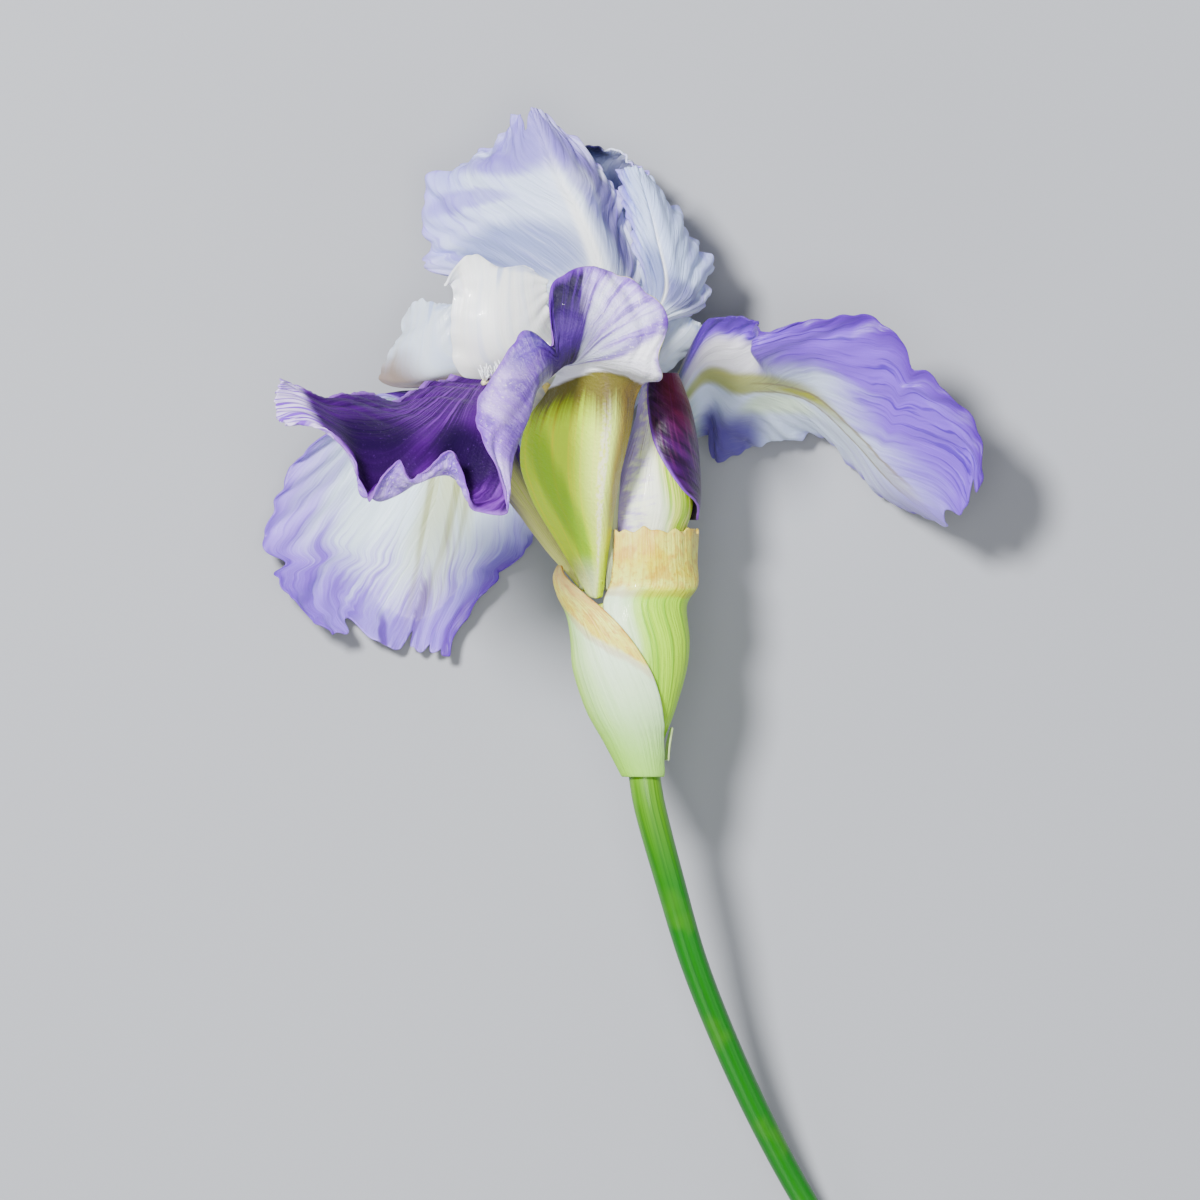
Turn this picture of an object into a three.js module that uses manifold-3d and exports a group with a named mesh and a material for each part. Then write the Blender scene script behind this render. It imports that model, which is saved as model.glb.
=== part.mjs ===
// A cut bearded iris, lying on its back: an open bloom and a furled bud on one stem.
// Millimetres. While it is modelled, +Y runs up the flower, +X to its right and +Z to the
// side that faces up, with zero where the six petals join. The group is moved at the end so
// that its origin is the middle of its underside.

import * as THREE from 'three';
import Module from 'manifold-3d';
import { mergeVertices } from 'three/addons/utils/BufferGeometryUtils.js';

const wasm = await Module();
wasm.setup();

// Driving dimensions
const PETAL_THICK = 0.7;
const BRACT_THICK = 0.8;
const SURFACE_Z = -38;
const STEM_TOP_RADIUS = 3.5;
const STEM_END_RADIUS = 2.5;
const SLIVER_THICK = 0.6;
const BUD_Z = -4;
const BUD_LIFT = 1.6; // how far a furled petal rises from its inner margin to its outer one
const MARGIN_NICK = 0.025; // share of a petal's width
const TIP_NOTCH = 0.022; // share of a petal's length
const FRONT_RUFFLE = 0.5;
const LEFT_RUFFLE = 0.9;
const RIGHT_RUFFLE = 0.7;
const STANDARD_RUFFLE = 0.8;
const BRACT_CRINKLE = 0.35;
const STAMEN_RADII = [0.45, 0.5, 0.55, 1.3, 0.8];
const GAP = 0.3;
const RIBBON_RADIUS = 0.5;
const HAIR_LENGTH = 3.8;
const HAIR_RADIUS = 0.38;
const HAIR_LEANS = [-0.7, 0, 0.7]; // sideways lean of the three hairs in each row

const paint = (color, roughness) =>
  new THREE.MeshStandardMaterial({ color, roughness, metalness: 0, side: THREE.FrontSide });
const STANDARD_WHITE = paint(0xe6e8fb, 0.5);
const STYLE_WHITE = paint(0xf6fbff, 0.45);
const FALL_VIOLET = paint(0x7a4fc0, 0.5);
const BEARD_WHITE = paint(0xf4f4ff, 0.8);
const BUD_PURPLE = paint(0x551a78, 0.5);
const BUD_GREEN = paint(0xc4d884, 0.5);
const BRACT_GREEN = paint(0xb9d98f, 0.55);
const STRAW = paint(0xe0cfa2, 0.7);
const STEM_GREEN = paint(0x3f8c2c, 0.5);
const POLLEN = paint(0xefe7c4, 0.8);

const group = new THREE.Group();

function place(name, geometry, material) {
  const mesh = new THREE.Mesh(geometry, material);
  mesh.name = name;
  group.add(mesh);
  return mesh;
}

// A smooth curve through a list of number lists, at t from 0 to 1.
function along(stops, t) {
  const last = stops.length - 1;
  const place = Math.min(Math.max(t, 0), 1) * last;
  const k = Math.min(Math.floor(place), last - 1);
  const s = place - k;
  const [b, c] = [stops[k], stops[k + 1]];
  const a = stops[k - 1] ?? b.map((value, i) => 2 * value - c[i]);
  const d = stops[k + 2] ?? c.map((value, i) => 2 * value - b[i]);
  return b.map((value, i) =>
    value + 0.5 * s * (c[i] - a[i]
      + s * (2 * a[i] - 5 * value + 4 * c[i] - d[i] + s * (3 * (value - c[i]) + d[i] - a[i]))));
}

// A petal's skin from ribs: each rib crosses the petal from one margin to the other.
const ribbed = (ribs) => (u, v) =>
  new THREE.Vector3(...along(ribs.map((rib) => along(rib, v)), u));

// Normals of a grid of points, from its neighbours.
function gridNormals(grid) {
  return grid.map((row, i) => row.map((_, j) => {
    const down = grid[Math.min(i + 1, grid.length - 1)][j].clone().sub(grid[Math.max(i - 1, 0)][j]);
    const across = row[Math.min(j + 1, row.length - 1)].clone().sub(row[Math.max(j - 1, 0)]);
    return across.cross(down).normalize();
  }));
}

// A closed sheet: the skin, waved along its normal, with a face on each side and a rim. Its
// side margins are nicked in by a share of the width, and its tip by a share of the length.
// Both faces are split into triangles alike. What would sink below the surface that the
// flower lies on is pressed flat there.
function sheet(skin, { rows, cols, thick = PETAL_THICK, wave = () => 0, nick = () => 0, tip = () => 0 }) {
  let grid = Array.from({ length: rows + 1 }, (_, i) => Array.from({ length: cols + 1 }, (_, j) => {
    const [u, v] = [i / rows, j / cols];
    return skin(u * (1 - tip(v) * u ** 4), 0.5 + (v - 0.5) * (1 - nick(u)));
  }));
  const bare = gridNormals(grid);
  grid = grid.map((row, i) => row.map((point, j) =>
    point.clone().addScaledVector(bare[i][j], wave(i / rows, j / cols))));
  const normals = gridNormals(grid);
  const positions = [];
  for (const side of [1, -1]) {
    grid.forEach((row, i) => row.forEach((point, j) => {
      const p = point.clone().addScaledVector(normals[i][j], side * thick / 2);
      const under = normals[i][j].z * side < 0;
      p.z = Math.max(p.z, SURFACE_Z + (under ? 0 : thick * 0.9));
      positions.push(p.x, p.y, p.z);
    }));
  }
  const count = (rows + 1) * (cols + 1);
  const at = (i, j) => i * (cols + 1) + j;
  const index = [];
  const quad = (a, b, c, d) => index.push(a, b, c, a, c, d);
  for (let i = 0; i < rows; i += 1) {
    for (let j = 0; j < cols; j += 1) {
      const [a, b, c, d] = [at(i, j), at(i, j + 1), at(i + 1, j + 1), at(i + 1, j)];
      index.push(a, b, c, a, c, d);
      index.push(a + count, c + count, b + count, a + count, d + count, c + count);
    }
  }
  for (let j = 0; j < cols; j += 1) {
    quad(at(0, j), at(0, j) + count, at(0, j + 1) + count, at(0, j + 1));
    quad(at(rows, j + 1), at(rows, j + 1) + count, at(rows, j) + count, at(rows, j));
  }
  for (let i = 0; i < rows; i += 1) {
    quad(at(i + 1, 0), at(i + 1, 0) + count, at(i, 0) + count, at(i, 0));
    quad(at(i, cols), at(i, cols) + count, at(i + 1, cols) + count, at(i + 1, cols));
  }
  const geometry = new THREE.BufferGeometry();
  geometry.setAttribute('position', new THREE.Float32BufferAttribute(positions, 3));
  geometry.setIndex(index);
  return facingOut(geometry);
}

// Turns a closed body's faces out, if its volume comes out negative.
function facingOut(geometry) {
  const p = geometry.getAttribute('position');
  const index = geometry.getIndex();
  const [a, b, c] = [new THREE.Vector3(), new THREE.Vector3(), new THREE.Vector3()];
  let volume = 0;
  for (let k = 0; k < index.count; k += 3) {
    a.fromBufferAttribute(p, index.getX(k));
    b.fromBufferAttribute(p, index.getX(k + 1));
    c.fromBufferAttribute(p, index.getX(k + 2));
    volume += a.dot(b.cross(c));
  }
  if (volume < 0) {
    for (let k = 0; k < index.count; k += 3) {
      const first = index.getX(k);
      index.setX(k, index.getX(k + 1));
      index.setX(k + 1, first);
    }
  }
  geometry.computeVertexNormals();
  return geometry;
}

// A round rod along a smooth route, with a radius for each stop of the route.
function rod(route, radii, { steps, sides }) {
  const curve = new THREE.CatmullRomCurve3(route.map((stop) => new THREE.Vector3(...stop)));
  const frames = curve.computeFrenetFrames(steps);
  const positions = [];
  const index = [];
  for (let i = 0; i <= steps; i += 1) {
    const centre = curve.getPointAt(i / steps);
    const [radius] = along(radii.map((value) => [value]), i / steps);
    for (let j = 0; j < sides; j += 1) {
      const turn = (2 * Math.PI * j) / sides;
      const p = centre.clone()
        .addScaledVector(frames.normals[i], radius * Math.cos(turn))
        .addScaledVector(frames.binormals[i], radius * Math.sin(turn));
      positions.push(p.x, p.y, p.z);
    }
  }
  for (const end of [0, 1]) {
    const p = curve.getPointAt(end);
    positions.push(p.x, p.y, p.z);
  }
  const [first, last] = [(steps + 1) * sides, (steps + 1) * sides + 1];
  for (let j = 0; j < sides; j += 1) {
    const next = (j + 1) % sides;
    for (let i = 0; i < steps; i += 1) {
      const [a, b] = [i * sides + j, i * sides + next];
      index.push(a, b, b + sides, a, b + sides, a + sides);
    }
    index.push(first, next, j);
    index.push(last, steps * sides + j, steps * sides + next);
  }
  const geometry = new THREE.BufferGeometry();
  geometry.setAttribute('position', new THREE.Float32BufferAttribute(positions, 3));
  geometry.setIndex(index);
  return facingOut(geometry);
}

function solidOf(geometry) {
  const bare = geometry.clone();
  bare.deleteAttribute('normal');
  bare.deleteAttribute('uv');
  const merged = mergeVertices(bare);
  return new wasm.Manifold(new wasm.Mesh({
    numProp: 3,
    vertProperties: new Float32Array(merged.getAttribute('position').array),
    triVerts: new Uint32Array(merged.getIndex().array),
  }));
}

function geometryOf(solid) {
  const mesh = solid.getMesh();
  const geometry = new THREE.BufferGeometry();
  geometry.setAttribute('position', new THREE.Float32BufferAttribute(mesh.vertProperties, 3));
  geometry.setIndex(Array.from(mesh.triVerts));
  return geometry;
}

// ---- Stem: slender, bowed to the right, sinking to the surface at its cut end
const STEM_ROUTE = [
  [8.7, -34, 0], [10.1, -42, -0.5], [13.9, -56, -3], [18.6, -72, -8], [24.8, -88, -14.5],
  [32.1, -104, -21.5], [40, -119, -28], [49.5, -134.5, -33], [59, -148, -35.3],
];
const STEM_RADII = [STEM_TOP_RADIUS, 3.4, 3.1, 2.9, 2.7, 2.6, 2.5, 2.45, STEM_END_RADIUS];
place('stem', rod(STEM_ROUTE, STEM_RADII, { steps: 18, sides: 10 }), STEM_GREEN);

// ---- Ovary and floral tube: one rod inside the spathe, carrying the open bloom
place('ovary_tube', rod(
  [[8.5, -33.6, 0], [6.5, -26, 0], [4, -14, 0], [1.6, -6, 0], [0.4, -0.6, 0]],
  [1.9, 3.1, 3.4, 2.9, 3.3],
  { steps: 7, sides: 10 },
), BRACT_GREEN);

// ---- Bracts: curved sheets round the foot of the bloom. Each row of a profile is
// [height, centre across, centre up, half width, half depth, angle of one margin, angle of
// the other], with angles in degrees from the right-hand side over the front.
function wrapped(profile, lift = 0) {
  return (u, v) => {
    const [y, centre, centreZ, wide, deep, from, to] = along(profile, u);
    const turn = THREE.MathUtils.degToRad(from + (to - from) * v);
    const out = lift * v;
    return new THREE.Vector3(
      centre + (wide + out) * Math.cos(turn),
      y,
      centreZ + (deep + out) * Math.sin(turn),
    );
  };
}

const BRACT_LEFT = [
  [-35.4, 8.9, -0.1, 4.3, 4.3, 25, 300],
  [-28.5, 7.4, 0, 6.4, 6.1, 33, 290],
  [-22, 6.6, 0, 9.2, 8.0, 50, 280],
  [-14, 6.5, 0, 11.7, 9.4, 72, 262],
  [-8, 6.4, 0, 12.1, 9.8, 90, 250],
  [-3, 5.8, 0, 12.3, 9.6, 108, 236],
  [1, 3.6, 0, 12.0, 9.0, 122, 222],
  [4.5, 2.0, 0, 11.2, 8.2, 140, 208],
  [7, 1.4, 0, 9.6, 7.4, 160, 196],
];
const BRACT_RIGHT = [
  [-32.9, 8.6, 0, 3.0, 3.0, -130, 100],
  [-28.5, 7.8, 0, 4.6, 4.3, -130, 105],
  [-22, 7.2, 0, 7.6, 6.3, -125, 110],
  [-14, 7.0, 0, 10.1, 7.9, -120, 116],
  [-8, 7.1, 0, 10.6, 8.3, -118, 122],
  [-1, 7.4, -0.6, 9.8, 8.3, -112, 134],
  [3, 8.8, -2, 10.6, 8.4, -105, 131],
  [8, 9.3, -3.6, 9.9, 11, -96, 132],
  [15, 9.6, -4, 9.9, 11.4, -84, 132],
];
place('bract_left', sheet(wrapped(BRACT_LEFT), { rows: 10, cols: 9, thick: BRACT_THICK }), BRACT_GREEN);
place('bract_right', sheet(wrapped(BRACT_RIGHT), {
  rows: 11,
  cols: 9,
  thick: BRACT_THICK,
  wave: (u, v) => BRACT_CRINKLE * Math.max(u - 0.6, 0) * Math.sin(19 * v + 9 * u),
}), BRACT_GREEN);
place('bract_small', sheet(ribbed([
  [[13.1, -32.2, -0.6], [13.5, -32, 0.3], [13.7, -32.2, 1.2]],
  [[13.2, -29, -0.6], [13.9, -29, 0.6], [13.9, -29, 1.6]],
  [[14.2, -25.6, 0.2], [14.4, -25.4, 0.7], [14.5, -25.6, 1.2]],
]), { rows: 4, cols: 2, thick: SLIVER_THICK }), STRAW);

// ---- Bud: a pointed core with three furled falls wrapped round it, each tucked under the next
place('bud_core', rod(
  [[9.6, -6, -2.4], [10.6, 6, -3.8], [11.2, 20, BUD_Z], [12.6, 34, BUD_Z], [12.6, 45.6, BUD_Z]],
  [1.6, 4.2, 4.8, 3.2, 0.4],
  { steps: 8, sides: 8 },
), BUD_GREEN);
const BUD_FALLS = {
  bud_fall_a: [
    [16, 10.6, BUD_Z, 7.2, 7.0, -98, -4], [19, 10.8, BUD_Z, 7.8, 7.5, -104, 24],
    [22, 11.2, BUD_Z, 7.8, 7.6, -108, 56], [27, 12, BUD_Z, 6.9, 6.6, -118, 84],
    [32, 12.6, BUD_Z, 5.9, 5.8, -118, 106], [38, 12.9, BUD_Z, 4.5, 4.4, -112, 124],
    [42, 12.8, BUD_Z, 3.3, 3.2, -100, 134], [45.5, 12.7, BUD_Z, 2.0, 1.9, -90, 140],
  ],
  bud_fall_b: [
    [5, 9.9, BUD_Z, 5.0, 4.9, -6, 142], [14, 10.3, BUD_Z, 6.5, 6.2, -22, 150],
    [19, 10.8, BUD_Z, 7.3, 6.9, -30, 158], [27, 12, BUD_Z, 6.3, 6.0, 0, 166],
    [36, 12.9, BUD_Z, 4.2, 4.1, 30, 176], [42, 12.7, BUD_Z, 2.7, 2.6, 60, 182],
    [44.6, 12.6, BUD_Z, 1.7, 1.6, 70, 186],
  ],
  bud_fall_c: [
    [5, 9.9, BUD_Z, 5.0, 4.9, 130, 300], [14, 10.3, BUD_Z, 6.5, 6.2, 138, 286],
    [19, 10.8, BUD_Z, 7.4, 6.9, 146, 258], [27, 12, BUD_Z, 6.4, 6.1, 154, 250],
    [36, 12.9, BUD_Z, 4.5, 4.4, 164, 250], [42, 12.7, BUD_Z, 3.1, 3, 170, 262],
    [44.6, 12.6, BUD_Z, 2.1, 2, 174, 268],
  ],
};
for (const [name, profile] of Object.entries(BUD_FALLS)) {
  place(name, sheet(wrapped(profile, BUD_LIFT), { rows: 9, cols: 8 }),
    name === 'bud_fall_a' ? BUD_PURPLE : BUD_GREEN);
}

// ---- Front fall: its haft climbs towards the eye, one half rises in a tall lobe and the
// blade swings left. Ribs run from the far margin to the near one.
const FALL_FRONT = [
  [[-2.2, 0.6, 2.6], [-1.6, 0.4, 3.1], [-0.9, 0.2, 3.3], [-0.2, 0.3, 3.1], [0.4, 0.5, 2.8]],
  [[-8.6, 11, 2.6], [-5, 11.5, 5.6], [-0.8, 11, 7], [0.8, 11, 6.4], [1.8, 11, 4.2]],
  [[-15.6, 24, 6.4], [-9, 24, 11.5], [-0.8, 22, 14], [2, 22, 13], [3.6, 22.4, 9.6]],
  [[-15.4, 34, 11.5], [-9, 35, 17.5], [0.2, 35, 20], [4, 34, 18], [6, 33, 14]],
  [[-11, 41, 16], [-6, 43, 21], [0, 44.6, 24.5], [5, 43.6, 23], [8.2, 42.4, 20]],
  [[-9, 44.5, 18], [-5.5, 45.8, 22], [-1.6, 46.6, 26], [6, 45.4, 31.5], [13.6, 44.2, 33]],
  [[-9.6, 46, 17.5], [-6.6, 46.6, 22], [-3, 47.2, 27], [4.5, 49, 35], [14.2, 55.8, 33.5]],
  [[-10.6, 47, 17], [-7.6, 47.2, 22], [-4.2, 47.4, 28], [0.4, 53, 36.5], [5.6, 64.2, 34]],
  [[-12, 47, 17], [-8.8, 47.4, 22.6], [-5.4, 47.2, 28.5], [-4, 53, 37.5], [-3, 66.2, 35]],
  [[-14, 46.6, 17.5], [-10.4, 46.8, 23], [-7, 46.6, 29.5], [-7.6, 51, 38], [-10, 63, 36]],
  [[-17, 45.6, 17.5], [-13, 45.8, 23.6], [-9.6, 44.4, 31.5], [-10.4, 48, 39.5], [-15.6, 54.6, 38]],
  [[-20, 44.4, 18.4], [-16.4, 44.2, 25], [-13, 41.4, 34], [-12.6, 43.4, 42.5], [-19.4, 47.4, 41]],
  [[-23.5, 43.6, 20], [-20.4, 42.8, 27.4], [-17, 38.6, 37], [-14.4, 36, 45], [-24.6, 39.4, 47.5]],
  [[-26.4, 43.6, 21.6], [-23.6, 42, 29.6], [-20.6, 36.4, 40], [-16.8, 29.6, 47], [-23.4, 31.2, 51.5]],
  [[-30, 44, 21], [-27, 41, 31], [-24.4, 34.6, 42], [-19, 24.6, 49], [-17.6, 17.4, 52]],
  [[-33.6, 43.6, 24], [-30.6, 39.8, 34], [-28, 33, 44], [-26, 23, 50], [-24.8, 17.8, 54]],
  [[-37.4, 41.4, 28], [-34, 38.4, 37], [-31.6, 32, 46], [-30, 24.6, 52.5], [-28.6, 29.6, 57.5]],
  [[-41.4, 39.4, 32], [-38, 36.8, 41], [-36, 31, 49], [-35.4, 23.6, 54.5], [-35.6, 23.8, 61]],
  [[-46, 40.8, 37], [-43, 36.2, 45], [-41.4, 29.4, 52], [-43.4, 19.4, 56.5], [-40, 27.6, 62.5]],
  [[-50.6, 41, 42], [-48, 37, 49], [-47.4, 31, 54], [-46.8, 23.6, 58], [-45.6, 19, 62]],
  [[-55.6, 40, 47], [-53.6, 37.6, 52], [-52, 34.4, 56], [-50.6, 30.6, 59.5], [-47.8, 27.6, 62.5]],
  [[-60.4, 42.6, 52], [-59.4, 40.4, 54.5], [-58.4, 38, 57], [-57, 35.4, 60], [-55.4, 33.6, 62.5]],
  [[-62.6, 43.8, 56.5], [-63.6, 41.4, 58], [-64.2, 38.6, 59.5], [-63.6, 35.6, 61], [-61.4, 34, 62.5]],
];
// Notches along the side margins and across the tip.
const nicked = (count) => (u) => MARGIN_NICK * (1 + Math.sin(count * u));
const notched = (v) => TIP_NOTCH * (1 + Math.sin(24 * v));
// Ruffles start at a share of the length and grow towards the tip and the side margins.
const frill = (u, v, from) => Math.max(u - from, 0) / (1 - from) * Math.abs(2 * v - 1) ** 3;
place('fall_front', sheet(ribbed(FALL_FRONT), {
  rows: 33,
  cols: 10,
  wave: (u, v) => FRONT_RUFFLE * frill(u, v, 0.2) * Math.sin(70 * u),
}), FALL_VIOLET);

// ---- Left fall: arches over and hangs behind, showing its pale back
const FALL_LEFT = [
  [[-3.4, 1.8, -0.4], [-3.2, 1.7, -0.9], [-2.9, 1.6, -1.4], [-2.4, 1.5, -1.8], [-1.8, 1.5, -2.2]],
  [[-10.6, 9.6, -4.6], [-9.8, 10.4, -4.2], [-8.6, 11, -4.4], [-7.4, 11.6, -5.2], [-6.6, 12, -6.2]],
  [[-18.6, 20, -10.4], [-17.6, 21.2, -9.6], [-16, 22, -10], [-14.4, 22.8, -11], [-13.4, 23.4, -12.4]],
  [[-30, 32.4, -19], [-27.6, 33.6, -17.6], [-24, 33.8, -18], [-20.6, 34.6, -20], [-18, 36, -22]],
  [[-44.4, 41, -20.6], [-38, 42, -22.4], [-30, 41.4, -25], [-23, 39.6, -28], [-17.6, 36.6, -31]],
  [[-57, 32.4, -26], [-45, 36.6, -31], [-30.6, 36, -34.6], [-20.6, 33, -35], [-13, 28, -33]],
  [[-65.4, 23, -29.6], [-49, 24.6, -35.6], [-32.4, 24.6, -38.4], [-20.4, 23.4, -37], [-10.4, 19.6, -32.4]],
  [[-68.2, 10.4, -29.6], [-52, 11, -36.4], [-35, 11, -39], [-23, 11.4, -37.6], [-14, 10, -31]],
  [[-63.6, 0.6, -28], [-51, -0.4, -35.6], [-37.4, -1, -38.6], [-29, 0.6, -36.8], [-21.6, 2.2, -31.4]],
  [[-52.6, -7.8, -26.4], [-46.4, -8.8, -30.6], [-40.4, -11, -33.6], [-35.4, -11.4, -33.6], [-30.4, -12.6, -31]],
];
place('fall_left', sheet(ribbed(FALL_LEFT), {
  rows: 18,
  cols: 14,
  nick: nicked(40),
  tip: notched,
  wave: (u, v) => LEFT_RUFFLE * frill(u, v, 0.4) * Math.sin(26 * u + 3 * v),
}), FALL_VIOLET);

// ---- Right fall: reaches out to the right, its near half raised and folded over near the haft
const FALL_RIGHT = [
  [[2.2, 1.8, -2.4], [2.6, 1.8, -2], [2.9, 1.8, -1.5], [3, 1.9, -1], [3, 2, -0.5]],
  [[7.4, 13, -17], [6.4, 14, -15.6], [5.4, 15, -15.2], [4.6, 16, -15.4], [4.0, 17, -16.2]],
  [[14.6, 27.6, -21.4], [13.4, 29.4, -18.4], [12.2, 31, -17.2], [11, 32.4, -17], [10.2, 33.6, -17.8]],
  [[21.6, 33, -27], [21.2, 38.6, -21], [20.4, 44, -16], [20, 49.6, -11], [20.4, 54.8, -7]],
  [[23.2, 27.4, -29], [25.4, 36, -21], [27.6, 42.6, -14.6], [27.4, 50, -8], [26, 57.2, -3]],
  [[30, 30.4, -30], [31.4, 38, -21], [32, 42.8, -14], [31.6, 49.6, -5.6], [31.4, 55.8, -0.6]],
  [[36.4, 31.6, -31.4], [37, 38, -21.4], [38, 42.2, -14], [31, 49.6, 5], [33.4, 53.8, 5.6]],
  [[43.6, 33.2, -33.6], [43.4, 36.2, -22.4], [44, 39.6, -13.6], [42.6, 49.6, 1], [43.4, 56.8, 6]],
  [[49.2, 29.6, -35.6], [50.6, 30.4, -23], [51.6, 32.4, -13], [53, 43, -3], [55.2, 56.8, 4]],
  [[54.8, 23, -36], [56.2, 22.6, -22.4], [58, 25.4, -12.4], [61.4, 35.6, -5], [66.6, 45.4, 1]],
  [[62, 18.6, -33.4], [62.8, 18.4, -21.4], [64.2, 19.8, -11.6], [70.6, 27.4, -6], [76.4, 33.4, -2]],
  [[68.6, 16.2, -28], [70, 15.4, -19], [71.6, 13.6, -11], [73.4, 16, -7.4], [76.2, 20.6, -5]],
];
place('fall_right', sheet(ribbed(FALL_RIGHT), {
  rows: 22,
  cols: 11,
  nick: nicked(52),
  wave: (u, v) => RIGHT_RUFFLE * frill(u, v, 0.3) * Math.sin(44 * u),
}), FALL_VIOLET);

// ---- Standards: broad petals on narrow claws
const STANDARD_LEFT = [
  [[-4, 2, -0.2], [-3.9, 2, 0.4], [-3.7, 2, 0.9], [-3.4, 2.1, 1.4], [-3, 2.2, 1.9]],
  [[-5.6, 20, -2.2], [-4.6, 20.2, -1.2], [-3.6, 20.4, -0.6], [-2.6, 20.4, -0.8], [-1.6, 20.2, -1.6]],
  [[-7.4, 40, -4.8], [-5, 40.4, -3], [-2.6, 40.6, -2.2], [-0.4, 40.4, -3], [1.2, 40, -5]],
  [[-21, 55, -11], [-10.4, 55.6, -5.6], [-1.2, 56, -3.4], [4.6, 55.6, -5.8], [9, 55, -9.4]],
  [[-32.6, 64.4, -16.4], [-17, 67, -6], [-0.4, 66.4, -0.8], [5.8, 66, -6.2], [10.4, 66, -12]],
  [[-36.8, 70.6, -18.4], [-21, 76.6, -6], [-4.6, 77.6, 0.8], [2.2, 75.6, -5.4], [6.4, 74.6, -11.6]],
  [[-34.6, 84.8, -17], [-22, 85.2, -6.6], [-8, 83.8, 0.6], [0.4, 82.4, -6], [4.4, 80.6, -12.4]],
  [[-23.6, 89.8, -13], [-17.4, 91, -6.4], [-11, 91, -1], [-4.8, 89.4, -6], [-0.4, 87.2, -11.4]],
  [[-17.4, 96.6, -9], [-15.8, 98, -6.4], [-14, 99.2, -4.4], [-12.4, 98.4, -5.4], [-11, 96.4, -7]],
];
const STANDARD_RIGHT = [
  [[1.3, 2, 2.7], [1.8, 1.9, 2.3], [2.4, 1.9, 1.8], [2.8, 1.9, 1.1], [3, 2, 0.5]],
  [[0.9, 20, 2.4], [1.7, 20.2, 2.8], [2.5, 20.4, 2.8], [3.2, 20.4, 2.3], [3.7, 20.2, 1.4]],
  [[2.4, 38.6, 0.4], [3.2, 38.9, 1], [4, 39, 1], [4.8, 38.9, 0.6], [5.6, 38.6, -0.4]],
  [[5.4, 51.4, -1.6], [7, 52.4, -0.8], [8.8, 53, -0.6], [10.8, 54, -2], [12.4, 55, -5]],
  [[8.4, 62, -3.2], [10.2, 62.8, -1.4], [13.2, 62.2, -1], [17.6, 60.2, -4.6], [20.8, 58.8, -12]],
  [[6.8, 71.6, -3.8], [8.6, 72.6, -1.4], [11.4, 72.8, -0.4], [17, 70, -5], [22.4, 67, -15]],
  [[4.8, 79, -5.6], [6.8, 80, -3.4], [9.4, 80.6, -2.4], [13.6, 79.4, -7.4], [17.6, 73.8, -16.6]],
  [[3.4, 86, -8.8], [5.2, 87, -7.4], [7, 87.2, -6.4], [9.2, 85.6, -9.4], [11, 82, -15]],
];
const STANDARD_BACK = [
  [[-0.9, 2.1, -3.5], [-0.3, 2, -3.8], [0.4, 2, -3.8], [1, 2, -3.6], [1.6, 2.1, -3.2]],
  [[-1.6, 20, -10], [-0.8, 20, -10.6], [0, 20, -10.8], [0.8, 20, -10.6], [1.6, 20, -10]],
  [[-4.6, 40, -16.6], [-2.4, 40, -18], [0, 40, -18.6], [2.4, 40, -18], [4.6, 40, -17]],
  [[-15, 54, -21.6], [-7.6, 55, -26.4], [0.6, 56, -28.4], [8.6, 55, -26.4], [15, 54, -22]],
  [[-27, 66, -23.4], [-14, 67.4, -34], [0, 68, -38.4], [11.6, 67.4, -34.6], [20.4, 65, -25]],
  [[-28, 79, -23.4], [-14.4, 79.6, -34], [-0.6, 80, -38.4], [10.4, 78, -34], [17, 73, -25]],
  [[-21, 87.6, -20.4], [-11.4, 88.6, -26.4], [-1, 89, -29.4], [7.4, 86.6, -25.6], [11, 82, -21]],
  [[-13.4, 90, -17], [-7.4, 91, -19.6], [-1, 91.4, -20.6], [4.4, 90, -19], [7.6, 86.4, -18]],
];
const STANDARDS = { standard_left: STANDARD_LEFT, standard_right: STANDARD_RIGHT, standard_back: STANDARD_BACK };
for (const [name, ribs] of Object.entries(STANDARDS)) {
  place(name, sheet(ribbed(ribs), {
    rows: 16,
    cols: 11,
    nick: nicked(37),
    wave: (u, v) => STANDARD_RUFFLE * frill(u, v, 0.35) * Math.sin(34 * u + 4 * v),
  }), STANDARD_WHITE);
}

// ---- Style arms: each arches over a fall and ends in a crest of two lobes
const STYLE_FRONT = [
  [[-1.6, 2, 0.7], [-1.1, 1.9, 1.3], [-0.4, 1.8, 1.6], [0, 1.9, 1.4], [0.4, 2, 1]],
  [[-5.2, 20, 3], [-3.8, 20, 3.7], [-2.4, 20, 3.9], [-1.2, 20, 3.5], [-0.4, 20, 2.8]],
  [[-10, 33.6, 4.4], [-7.4, 34.6, 6], [-4.6, 36, 6.6], [-2.6, 37, 5.6], [-1.4, 38, 4]],
  [[-20, 41.4, 9], [-15.6, 43.4, 10.6], [-11, 46, 11.4], [-8.4, 49, 9], [-7, 51.4, 6]],
  [[-28.2, 45.4, 15.4], [-24, 47, 17.2], [-19, 49.6, 18], [-13.4, 53, 15.6], [-9.8, 56, 12]],
  [[-29.8, 53, 17.4], [-25.6, 55, 19.2], [-20.4, 57, 19.6], [-14.6, 59, 16.6], [-10.4, 60.6, 13]],
  [[-29.6, 61.8, 18], [-25, 63.6, 17.6], [-20, 65, 17], [-15, 65.4, 14.6], [-10.4, 63, 12.6]],
  [[-31.4, 62.2, 21], [-26.4, 69.6, 16], [-19.2, 65.8, 15.4], [-15, 66.4, 13], [-11, 63.6, 12]],
];
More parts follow.
